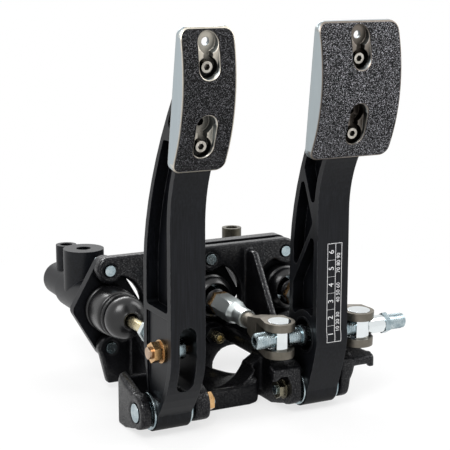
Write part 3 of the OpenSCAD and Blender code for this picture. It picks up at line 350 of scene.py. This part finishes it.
def moulded_rubber():
    """Black rubber with a soft shine on its folds; its coat fades out in grooves and hollows as painted
    shade.
    """
    skin = Finish("moulded_rubber", edge=0.0002, grain=600.0, tone=80.0, bump=0.00002, depth=0.15)
    skin.join("Base Color", skin.drift((0.0025, 0.0025, 0.003), (0.006, 0.006, 0.0065)))
    skin.join("Roughness", skin.spread(skin.height, 0.24, 0.34))
    # Painted shade: less coat in grooves and hollows
    skin.join("Coat Weight", skin.painted_shade(0.025, 0.95))
    skin.plain(Coat_Roughness=0.26, Specular_IOR_Level=0.05)
    return skin.material


def table_ink():
    """Pale ink of the printed table."""
    print_coat = Finish("table_ink", edge=0.0001, grain=1500.0, tone=200.0, bump=0.00002, depth=0.2)
    print_coat.join("Base Color", print_coat.drift((0.62, 0.62, 0.63), (0.78, 0.78, 0.79)))
    print_coat.plain(Roughness=0.55)
    return print_coat.material


# Steel with a slow, even grain and no painted shade in its holes
EVEN = {"grain": 300.0, "tone": 40.0, "painted_shade": 0}
casting = black_casting()
arm_finish = black_anodised("arm_finish", (1, 1, 0.03), 1400.0)
cylinder_finish = black_anodised("cylinder_finish", (1, 0.2, 1), 900.0, (0.34, 0.48), shine=0.399)
zinc = plated(
    "bright_zinc", (0.22, 0.29, 0.32), (0.36, 0.44, 0.47), (0.54, 0.61, 0.63), tone=160.0, painted_shade=0.002
)
bright_steel = plated(
    "bright_steel", (0.6, 0.66, 0.66), (0.7, 0.75, 0.75), (0.8, 0.84, 0.83), (0.32, 0.42), **EVEN
)
polished = plated(
    "polished_steel", (0.62, 0.66, 0.67), (0.72, 0.76, 0.77), (0.8, 0.84, 0.85), (0.06, 0.12), **EVEN
)
screw_steel = plated(
    "screw_steel", (0.3, 0.28, 0.25), (0.5, 0.47, 0.42), (0.7, 0.67, 0.62), (0.16, 0.26),
    tone=300.0, painted_shade=0.006, shade_depth=0.04
)
yellow = plated("yellow_zinc", (0.5, 0.29, 0.12), (0.64, 0.4, 0.19), (0.74, 0.53, 0.3), (0.22, 0.34))
pale_yellow = plated(
    "pale_yellow_zinc", (0.6, 0.5, 0.28), (0.72, 0.63, 0.4), (0.8, 0.74, 0.54), (0.2, 0.3), painted_shade=0
)
phosphate = plated(
    "phosphate_steel", (0.12, 0.11, 0.09), (0.17, 0.155, 0.13), (0.22, 0.2, 0.17), (0.42, 0.55), 900.0
)
port_steel = plated(
    "port_steel", (0.06, 0.055, 0.042), (0.09, 0.083, 0.065), (0.13, 0.12, 0.095), (0.36, 0.48), 900.0
)
dark_steel = plated("dark_steel", (0.13, 0.12, 0.09), (0.24, 0.22, 0.16), (0.36, 0.33, 0.25))
pin_steel = plated("pin_steel", (0.3, 0.2, 0.13), (0.45, 0.32, 0.22), (0.6, 0.46, 0.34))
wire = plated("spring_wire", (0.34, 0.34, 0.35), (0.42, 0.42, 0.43), (0.5, 0.5, 0.52), (0.25, 0.35))
bronze = plated("bronze", (0.4, 0.27, 0.13), (0.5, 0.35, 0.18), (0.58, 0.42, 0.24), (0.3, 0.42))
bare_alloy = machined("bare_alloy", (0.42, 0.48, 0.51), (0.66, 0.62, 0.55), (0.03, 0.03, 0.03), 0.012)
warm_face = machined(
    "warm_face", (0.62, 0.58, 0.5), (0.7, 0.65, 0.56), (0.02, 0.02, 0.02), 0.012, (0.4, 0.52)
)
grey_alloy = machined(
    "grey_alloy", (0.4, 0.45, 0.47), (0.27, 0.235, 0.2), (0.016, 0.012, 0.009), 0.02, (0.3, 0.44)
)
brown_face = machined(
    "brown_face", (0.25, 0.22, 0.19), (0.3, 0.265, 0.23), (0.014, 0.01, 0.008), 0.014, (0.4, 0.52)
)
# One grit in two tones: the brake's is paler and glints more as painted light, its pad facing the lamps
# more, and the clutch's is darker as painted shade
clutch_grit = grip_grit("clutch_grit", 0.0015, 0.003, 0.28)
brake_grit = grip_grit("brake_grit", 0.004, 0.008, 0.78)
rubber = moulded_rubber()
ink = table_ink()

# Nodes that aren't named here are bright zinc
finishes = {
    casting: ("frame", "clamp_bar"),
    arm_finish: ("clutch_arm", "brake_arm", "bearing_sleeve", "long_bolt_nut"),
    cylinder_finish: ("clutch_cylinder", "left_cylinder", "right_cylinder"),
    bright_steel: ("left_coupling", "right_coupling", "clutch_jam_nut"),
    polished: ("left_trunnion", "right_trunnion", "bearing_ball", "bar_end_sleeve"),
    yellow: ("pivot_nuts", "clutch_pin_nut", "left_jam_nut", "right_jam_nut"),
    pale_yellow: ("clutch_pushrod", "long_flange_bolt"),
    phosphate: ("left_clevis", "right_clevis"),
    screw_steel: ("clutch_pad_screws", "brake_pad_screws"),
    # The clutch's pin bolt is a darker, browner steel than the zinc, as painted shade for its place inside
    # the arm's slot
    pin_steel: ("clutch_pin_bolt",),
    wire: ("clutch_spring", "left_spring", "right_spring"),
    bronze: ("clutch_bushes", "brake_bushes"),
    bare_alloy: ("clutch_pad", "clutch_piston", "left_piston", "right_piston"),
    grey_alloy: ("brake_pad",),
    clutch_grit: ("clutch_grip",),
    brake_grit: ("brake_grip",),
    rubber: (
        "clutch_boot", "left_boot", "right_boot", "bar_dust_seals", "clutch_seal", "left_seal", "right_seal"
    ),
}
finish_of = {name: material for material, names in finishes.items() for name in names}
for name, piece in nodes.items():
    piece.data.materials.clear()
    piece.data.materials.append(finish_of.get(name, zinc))


def part_finish(name, material, chosen):
    """Gives some faces of a node another finish; chosen takes a face's centre."""
    mesh = nodes[name].data
    mesh.materials.append(material)
    for face in mesh.polygons:
        if chosen(face.center):
            face.material_index = 1


def on_port(centre):
    """True on a brake cylinder's ports, which stand above its body and behind its flange."""
    body_top, flange_back = 79 * MM, 88 * MM
    return centre.z > body_top and centre.y > flange_back


# The brake's pivot nut is darker than the clutch's
part_finish("pivot_nuts", dark_steel, lambda centre: centre.x > 0)
for name in ("left_cylinder", "right_cylinder"):
    part_finish(name, port_steel, on_port)


# Pieces of the scene; their sizes and places are in mm

def in_mm(point):
    """A point of the frame in mm, to the micron."""
    return Vector([round(part / MM, 3) for part in point])


wall_back = in_mm(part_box("frame")[1]).y
hinge_at = {joint["name"]: in_mm(joint["pos_m"]) for joint in frame["joints"] if joint["type"] == "hinge"}


def new_piece(name, shape, material, body):
    """A piece of the object from a bmesh; it rides on a body if one is given."""
    mesh = bpy.data.meshes.new(name)
    shape.to_mesh(mesh)
    shape.free()
    mesh.materials.append(material)
    piece = bpy.data.objects.new(name, mesh)
    bpy.context.scene.collection.objects.link(piece)
    if body:
        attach(piece, body)
    return piece


def settle(piece):
    """Turns a piece with its modifiers into a plain mesh."""
    graph = bpy.context.evaluated_depsgraph_get()
    done = bpy.data.meshes.new_from_object(piece.evaluated_get(graph))
    piece.modifiers.clear()
    piece.data = done


def merged_copy(name):
    """A bmesh of a node with its loose triangles joined."""
    shape = bmesh.new()
    shape.from_mesh(nodes[name].data)
    bmesh.ops.remove_doubles(shape, verts=shape.verts, dist=DOUBLES)
    return shape


def share(value, none, full):
    """How far a value is on its way from none to full, between 0 and 1."""
    return min(1.0, max(0.0, (value - none) / (full - none)))


def hook_crown(shape, inner, outer, back, high, taper):
    """Adds the sloping top of a hook: a plate that rises to the rear and narrows there."""
    front, low, thick = -35.4, 33.8, 6
    corners = [(inner, front, low), (outer, front, low), (outer - taper, back, high), (inner, back, high)]
    top = shape.faces.new([shape.verts.new([part * MM for part in corner]) for corner in corners])
    side = bmesh.ops.extrude_face_region(shape, geom=[top])["geom"]
    lower = [item for item in side if isinstance(item, bmesh.types.BMVert)]
    bmesh.ops.translate(shape, verts=lower, vec=(0, 0, -thick * MM))
    made = [top] + [item for item in side if isinstance(item, bmesh.types.BMFace)]
    linked = {near for face in made for vert in face.verts for near in vert.link_faces}
    bmesh.ops.recalc_face_normals(shape, faces=list(linked))


def bend_casting(mesh):
    """Bends the casting where it departs from the plain solid, zone by zone."""
    # Zones at the wall start a little in front of it
    near_wall, plate_top = 66, 7.5
    # Outer clutch ear: its rear slants forward to the outside
    ear_in, ear_out, ear_front, ear_rear, ear_slant = -71, -79, -8, 14, 7.8
    # Left foot of the wall: it narrows to the floor
    foot_in, foot_out, foot_top, foot_slant = -46, -66, 30, 7.6
    # Left side of the arch: it closes in to the floor
    arch_left, arch_edge, arch_right, arch_high, arch_low, arch_closing = 0, 19, 32, 20, 4, 5.4
    # Plate in front of the arch's corner: it rises to the wall
    rise_left, rise_full, rise_ebb, rise_right = -3, 10, 22, 36
    rise_front, rise_rear, rise_low, rise_high, rise_limit, rise = 44, 64, 2, 7, 12, 6
    # Sweep of the plate up to the brake side wall: it is lowered on its left
    sweep_left, sweep_right, sweep_front, sweep_rear = -2, 25, 4, 26
    # Outer side of the right ear: it widens towards its top
    flare_left, flare_edge, flare_right, flare_low, flare_high, flare = 74, 79, 80, 12, 32, 2.8
    # Front ends: their undersides rise
    nose_back, nose_front, nose_high, nose_low, nose_lift = -4, -12, 10, 2, 2.2
    for vert in mesh.vertices:
        x, y, z = (part / MM for part in vert.co)
        if x < ear_in:
            y -= ear_slant * share(x, ear_in, ear_out) * share(y, ear_front, ear_rear)
        elif x < foot_in and y > near_wall:
            x += foot_slant * share(z, foot_top, 0) * share(x, foot_in, foot_out)
        elif arch_left < x < arch_right and y > near_wall:
            x += arch_closing * share(x, arch_left, arch_edge) * share(z, arch_high, arch_low)
        elif rise_left < x < rise_right and y > rise_front and z < rise_limit:
            across = share(x, rise_left, rise_full) * share(x, rise_right, rise_ebb)
            z += rise * across * share(y, rise_front, rise_rear) * share(z, rise_low, rise_high)
        elif sweep_left < x < sweep_right and sweep_front < y < sweep_rear and z > plate_top:
            z = plate_top + (z - plate_top) * share(x, sweep_left, sweep_right)
        elif flare_left < x < flare_right and y < nose_back:
            x += flare * share(x, flare_left, flare_edge) * share(z, flare_low, flare_high)
        if y < nose_back:
            z += nose_lift * share(y, nose_back, nose_front) * share(z, nose_high, nose_low)
        vert.co = (x * MM, y * MM, z * MM)


def rounded_casting():
    """The frame with the rounded edges of a casting and sloping tops on its two hooks."""
    voxel = 1.15
    shape = merged_copy("frame")
    hook_crown(shape, inner=72.2, outer=99.2, back=-18, high=40.4, taper=7)
    hook_crown(shape, inner=40.3, outer=18.4, back=-20, high=39.4, taper=-5)
    piece = new_piece("cast_frame", shape, casting, "frame")
    cells = piece.modifiers.new("even_cells", "REMESH")
    cells.mode = "VOXEL"
    cells.voxel_size = voxel * MM
    cells.use_smooth_shade = True
    soften = piece.modifiers.new("soften", "SMOOTH")
    soften.factor = 0.5
    soften.iterations = 6
    settle(piece)
    bend_casting(piece.data)
    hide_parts("frame")


def thread(name, radius, spans):
    """Helical ridges that stand on the balance bar; spans are (start, end) along X."""
    pitch, ridge, sunk = 1.27, 0.3, 0.06
    steps = 28
    along = Vector((1, 0, 0))
    bar_line = Vector((0, hinge_at["bar_turn"].y, hinge_at["bar_turn"].z))
    shape = bmesh.new()
    for start, end in spans:
        turns = int((end - start) / pitch)
        verts = bmesh.ops.create_circle(shape, segments=4, radius=ridge * MM, cap_ends=True)["verts"]
        bmesh.ops.rotate(shape, verts=verts, matrix=Matrix.Rotation(math.pi / 2, 3, "X"), cent=(0, 0, 0))
        bmesh.ops.translate(shape, verts=verts, vec=(start * MM, 0, (radius - sunk) * MM))
        faces = list({face for vert in verts for face in vert.link_faces})
        edges = list({edge for vert in verts for edge in vert.link_edges})
        bmesh.ops.spin(
            shape, geom=verts + faces + edges, cent=(0, 0, 0), axis=along, dvec=along * pitch * MM / steps,
            angle=2 * math.pi * turns, steps=steps * turns
        )
    bmesh.ops.recalc_face_normals(shape, faces=shape.faces)
    bmesh.ops.translate(shape, verts=shape.verts, vec=bar_line * MM)
    piece = new_piece(name, shape, zinc, "bar")
    piece.data.shade_smooth()


def boot_seat(side):
    """Where a boot's centre line meets the rear face of the wall."""
    low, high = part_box(side + "_boot")
    middle = in_mm((low + high) / 2)
    return Vector((middle.x, wall_back, middle.z))


def turned_rubber(name, profile, seat, body):
    """A rubber piece turned about Y; its profile is (radius, distance in front of the seat)."""
    steps = 36
    shape = bmesh.new()
    ring = [shape.verts.new((radius * MM, -away * MM, 0)) for radius, away in profile]
    edges = [shape.edges.new(pair) for pair in zip(ring, ring[1:] + ring[:1])]
    bmesh.ops.spin(
        shape, geom=ring + edges, cent=(0, 0, 0), axis=(0, 1, 0), angle=2 * math.pi, steps=steps,
        use_merge=True
    )
    bmesh.ops.remove_doubles(shape, verts=shape.verts, dist=DOUBLES)
    bmesh.ops.recalc_face_normals(shape, faces=shape.faces)
    bmesh.ops.translate(shape, verts=shape.verts, vec=seat * MM)
    piece = new_piece(name, shape, rubber, body)
    folds = piece.modifiers.new("round_folds", "SUBSURF")
    folds.levels = folds.render_levels = 2
    settle(piece)
    piece.data.shade_smooth()
    return piece


def clutch_bellows():
    """Long boot along the clutch rod, with its mouth raised to the rod."""
    held, free, rod_rise = 13, 44, 1.15
    outside = [
        (14.8, 0.6), (17.3, 0.6), (17.5, 1.2), (17.5, 3.2), (16.4, 3.8), (16.4, 4.6), (17.3, 5.6),
        (17.5, 9), (17.5, 14), (17.3, 19), (16.9, 23.2), (16.1, 25), (11.8, 25.6), (11.8, 27.2),
        (16, 27.7), (16.4, 28.8), (16, 30), (11.8, 30.5), (11.8, 32.1), (15.5, 32.6), (15.9, 34.8),
        (15.2, 38.6), (13, 41.8), (9.6, 44.1), (6.8, 45.2), (6.2, 45.9), (5.1, 45.9)
    ]
    inside = [
        (4.9, 45), (4.9, 43.6), (8.6, 42.2), (10, 40), (10.2, 36), (10.2, 30), (10.2, 12), (11.4, 10.4),
        (14.8, 9.8)
    ]
    seat = boot_seat("clutch")
    piece = turned_rubber("clutch_bellows", outside + inside, seat, None)
    for vert in piece.data.vertices:
        vert.co.z += rod_rise * MM * share(seat.y - vert.co.y / MM, held, free)
    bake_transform(piece)
    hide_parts("clutch_boot")


def brake_boot(side):
    """Short boot: a cuff on the cylinder's nose, and a lip on the rod that slides in its mouth."""
    rod_drop = Vector((0, 0, 0.6))
    cuff = [
        (14.8, 0.6), (17.3, 0.6), (17.5, 1.2), (17.5, 6), (16.8, 7.2), (15.6, 7.8), (15.3, 8.8),
        (15.9, 9.8), (15.9, 11.2), (15, 13.2), (13.6, 14.9), (12.4, 15.9), (11.7, 16.1), (11.6, 15.4),
        (12.3, 14.6), (13.2, 13.4), (13.9, 11.8), (13.9, 10.4), (14.8, 9.8)
    ]
    lip = [
        (8.6, 16.1), (8.7, 16.5), (8.3, 16.9), (7.2, 17.4), (6.4, 18), (5.9, 18.6), (5.2, 18.7), (5, 18),
        (5, 17.2), (6.6, 16.6), (7.8, 16.1)
    ]
    seat = boot_seat(side)
    piece = turned_rubber(side + "_boot_cuff", cuff, seat, "frame")
    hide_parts(side + "_boot")
    turned_rubber(side + "_boot_lip", lip, seat - rod_drop, side + "_plunger")


def return_spring(side):
    """Wire spring, a smooth-shaded copy of its node."""
    piece = new_piece(side + "_return_spring", merged_copy(side + "_spring"), wire, None)
    piece.data.shade_smooth()
    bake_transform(piece)
    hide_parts(side + "_spring")


def cut_out(piece, shape):
    """Takes a shape, which may cross itself, out of a piece."""
    mesh = bpy.data.meshes.new("cutter")
    shape.to_mesh(mesh)
    shape.free()
    cutter = bpy.data.objects.new("cutter", mesh)
    bpy.context.scene.collection.objects.link(cutter)
    cut = piece.modifiers.new("cut_out", "BOOLEAN")
    cut.operation = "DIFFERENCE"
    cut.solver = "EXACT"
    cut.use_self = True
    cut.object = cutter
    settle(piece)
    bpy.data.objects.remove(cutter)
    bpy.data.meshes.remove(mesh)


def pad_wells(place):
    """Round wells at each screw and its spare hole, with a narrow neck between them."""
    screws, spare_step = (21.3, -27.7), 14.4
    well_radius, neck_radius = 6.6, 3.2
    floor, mouth = 3.0, 20.0
    forward = Matrix.Rotation(math.pi / 2, 4, "X")
    shape = bmesh.new()
    for screw in screws:
        for up, radius in ((0.0, well_radius), (spare_step, well_radius), (spare_step / 2, neck_radius)):
            well = place @ Matrix.Translation((0, -(floor + mouth) / 2, screw + up)) @ forward
            bmesh.ops.create_cone(
                shape, segments=48, radius1=radius, radius2=radius, depth=mouth - floor, cap_ends=True,
                matrix=well
            )
    bmesh.ops.scale(shape, verts=shape.verts, vec=(MM, MM, MM))
    return shape


def pad_plate(node, pedal, material, face_material, back_y, lean):
    """The pad with its wells and a front finish of its own; back_y is its back, from the hinge."""
    pad_height, facing_front = 226.8, -0.6
    hinge = hinge_at[pedal + "_hinge"]
    piece = new_piece(node + "_plate", merged_copy(node), material, pedal)
    centre = Matrix.Translation((hinge.x, hinge.y + back_y, pad_height))
    cut_out(piece, pad_wells(centre @ Matrix.Rotation(math.radians(lean), 4, "X")))
    piece.data.materials.append(face_material)
    for face in piece.data.polygons:
        face.material_index = 1 if face.normal.y < facing_front else 0
    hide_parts(node)


# Printed table on the brake arm

TABLE_LEFT, TABLE_SPLIT, TABLE_RIGHT = 52.2, 58.4, 63.2
TABLE_LOW, TABLE_HIGH = 53.0, 121.5
TABLE_ROWS = 6
ROW_PITCH = (TABLE_HIGH - TABLE_LOW) / TABLE_ROWS
UPRIGHT = Matrix.Rotation(math.pi / 2, 4, "X")


def strip(shape, x, z, width, height, pieces=1):
    """A flat strip about (x, z), cut into pieces along its height so that it can bend with the arm."""
    place = Matrix.Translation((x, 0, z)) @ UPRIGHT @ Matrix.Diagonal((width, height, 1, 1))
    bmesh.ops.create_grid(shape, x_segments=1, y_segments=pieces, size=0.5, matrix=place)


def table_rules(shape):
    """The table's box, its middle line and the thin lines between its rows."""
    line, bends = 0.34, 60
    height = TABLE_HIGH - TABLE_LOW
    for x in (TABLE_LEFT, TABLE_SPLIT, TABLE_RIGHT):
        strip(shape, x, TABLE_LOW + height / 2, line, height + line, bends)
    for z in (TABLE_LOW, TABLE_HIGH):
        for left, right in ((TABLE_LEFT, TABLE_SPLIT), (TABLE_SPLIT, TABLE_RIGHT)):
            strip(shape, (left + right) / 2, z, right - left - line, line)
    for row in range(1, TABLE_ROWS):
        middle = (TABLE_LEFT + TABLE_SPLIT) / 2
        strip(shape, middle, TABLE_LOW + row * ROW_PITCH, TABLE_SPLIT - TABLE_LEFT - line, line / 2)


def table_text(shape, text, x, z, size):
    """Adds text about (x, z), turned to read upwards."""
    curve = bpy.data.curves.new("number", "FONT")
    curve.body = text
    curve.size = size
    curve.align_x = "CENTER"
    curve.align_y = "CENTER"
    holder = bpy.data.objects.new("number", curve)
    bpy.context.scene.collection.objects.link(holder)
    graph = bpy.context.evaluated_depsgraph_get()
    flat = bpy.data.meshes.new_from_object(holder.evaluated_get(graph))
    flat.transform(Matrix.Translation((x, 0, z)) @ UPRIGHT @ Matrix.Rotation(math.pi / 2, 4, "Z"))
    shape.from_mesh(flat)
    bpy.data.objects.remove(holder)
    bpy.data.curves.remove(curve)
    bpy.data.meshes.remove(flat)


def ruled_table():
    """Plain numbers in a ruled box, printed on the front of the brake arm."""
    row_size, column_size = 5.6, 3.9
    ahead, lift, ink_thickness = -200, 0.06, 0.1
    shape = bmesh.new()
    table_rules(shape)
    for row in range(TABLE_ROWS):
        middle = (TABLE_LEFT + TABLE_SPLIT) / 2
        table_text(shape, str(row + 1), middle, TABLE_LOW + (row + 0.5) * ROW_PITCH, row_size)
    for text, part in (("10 20 30", 0.2), ("40 50 60", 0.5), ("70 80 90", 0.8)):
        middle = (TABLE_SPLIT + TABLE_RIGHT) / 2
        table_text(shape, text, middle, TABLE_LOW + part * (TABLE_HIGH - TABLE_LOW), column_size)
    bmesh.ops.scale(shape, verts=shape.verts, vec=(MM, MM, MM))
    bpy.context.view_layer.update()
    for vert in shape.verts:
        place = nodes["brake_arm"].ray_cast((vert.co.x, ahead * MM, vert.co.z), (0, 1, 0))[1]
        vert.co.y = place.y - lift * MM
    piece = new_piece("ruled_table", shape, ink, "brake_pedal")
    layer = piece.modifiers.new("ink_layer", "SOLIDIFY")
    layer.thickness = ink_thickness * MM
    layer.offset = -1


rounded_casting()
thread("bar_thread", 5.55, [(6.8, 19), (29.8, 39.5), (72.6, 82.6)])
thread("stub_thread", 5.25, [(111.8, 124)])
clutch_bellows()
for side in ("left", "right"):
    brake_boot(side)
for side in ("clutch", "left", "right"):
    return_spring(side)
pad_plate("clutch_pad", "clutch_pedal", bare_alloy, warm_face, back_y=-51, lean=9.8)
pad_plate("brake_pad", "brake_pedal", grey_alloy, brown_face, back_y=-41.5, lean=7.4)
ruled_table()


# Stage, light and camera; places and sizes are in metres

def seen_plainly(tree):
    """1 where the camera looks, straight or by reflection or through glass, and 0 for other rays."""
    path = shader_node(tree, "ShaderNodeLightPath")
    seen = path.outputs["Is Camera Ray"]
    for ray in ("Is Glossy Ray", "Is Transmission Ray"):
        seen = maths(tree, "ADD", seen, path.outputs[ray], use_clamp=True)
    return seen


def pale_floor():
    """Pale grey that keeps the object's shadow and fades to plain white away from it."""
    shadow_reach, white_reach, near_white = 0.16, 0.5, 0.7
    material = bpy.data.materials.new("pale_floor")
    material.use_nodes = True
    tree = material.node_tree
    tree.nodes.clear()
    lit = shader_node(tree, "ShaderNodeBsdfDiffuse", Color=(0.9, 0.9, 0.9, 1))
    white = shader_node(tree, "ShaderNodeEmission")
    away = shader_node(tree, "ShaderNodeVectorMath", [(0, object_place(tree))], operation="LENGTH")
    fade = map_range(tree, away.outputs["Value"], shadow_reach, white_reach, near_white, 1.0)
    whiteness = maths(tree, "MULTIPLY", seen_plainly(tree), fade)
    links = [(0, whiteness), (1, lit.outputs[0]), (2, white.outputs[0])]
    mixed = shader_node(tree, "ShaderNodeMixShader", links)
    out = shader_node(tree, "ShaderNodeOutputMaterial")
    tree.links.new(mixed.outputs[0], out.inputs["Surface"])
    return material


def stage_floor():
    """Wide floor just under the object."""
    half_width, drop = 8.0, 0.0002
    mesh = bpy.data.meshes.new("floor")
    shape = bmesh.new()
    bmesh.ops.create_grid(shape, x_segments=1, y_segments=1, size=half_width)
    bmesh.ops.translate(shape, verts=shape.verts, vec=(0, 0, -drop))
    shape.to_mesh(mesh)
    shape.free()
    mesh.materials.append(pale_floor())
    piece = bpy.data.objects.new("floor", mesh)
    bpy.context.scene.collection.objects.link(piece)


def soft_box(name, place, aim, size, power):
    """A rectangular lamp that points at its aim."""
    lamp = bpy.data.lights.new(name, "AREA")
    lamp.shape = "RECTANGLE"
    lamp.size, lamp.size_y = size
    lamp.energy = power
    piece = bpy.data.objects.new(name, lamp)
    piece.location = place
    piece.rotation_euler = (Vector(aim) - Vector(place)).to_track_quat("-Z", "Y").to_euler()
    bpy.context.scene.collection.objects.link(piece)


def studio_world():
    """White where it is seen, and a softer light on the object."""
    soft_light = 0.45
    world = bpy.data.worlds.new("studio")
    bpy.context.scene.world = world
    world.use_nodes = True
    tree = world.node_tree
    tree.nodes.clear()
    level = map_range(tree, seen_plainly(tree), 0.0, 1.0, soft_light, 1.0)
    sky = shader_node(tree, "ShaderNodeBackground", [("Strength", level)], Color=(1, 1, 1, 1))
    out = shader_node(tree, "ShaderNodeOutputWorld")
    tree.links.new(sky.outputs[0], out.inputs["Surface"])


def photo_camera():
    """Camera at the photo's viewing angle; the focal length is in pixels of the photo."""
    turn, rise = math.radians(-27), math.radians(11.6)
    place = (-0.4036, -0.7899, 0.3129)
    photo_width, focal_length, sensor_width = 450, 1330, 36.0
    right = Vector((math.cos(turn), math.sin(turn), 0))
    back = Vector((math.sin(turn) * math.cos(rise), -math.cos(turn) * math.cos(rise), math.sin(rise)))
    axes = Matrix((right, back.cross(right), back)).transposed()
    lens = bpy.data.cameras.new("photo_camera")
    lens.sensor_width = sensor_width
    lens.lens = sensor_width * focal_length / photo_width
    lens.clip_start = 0.05
    camera = bpy.data.objects.new("photo_camera", lens)
    camera.matrix_world = Matrix.Translation(place) @ axes.to_4x4()
    bpy.context.scene.collection.objects.link(camera)
    bpy.context.scene.camera = camera


stage_floor()
studio_world()
soft_box("key_light", (-0.7, -0.7, 1.1), (0, 0, 0.12), (0.7, 0.7), 14)
soft_box("side_light", (0.9, -0.3, 0.8), (0, 0.02, 0.12), (0.5, 0.8), 6)
soft_box("back_light", (0.1, 1.0, 0.9), (0, 0, 0.12), (0.9, 0.4), 9)
photo_camera()
bpy.context.scene.view_settings.view_transform = "Standard"
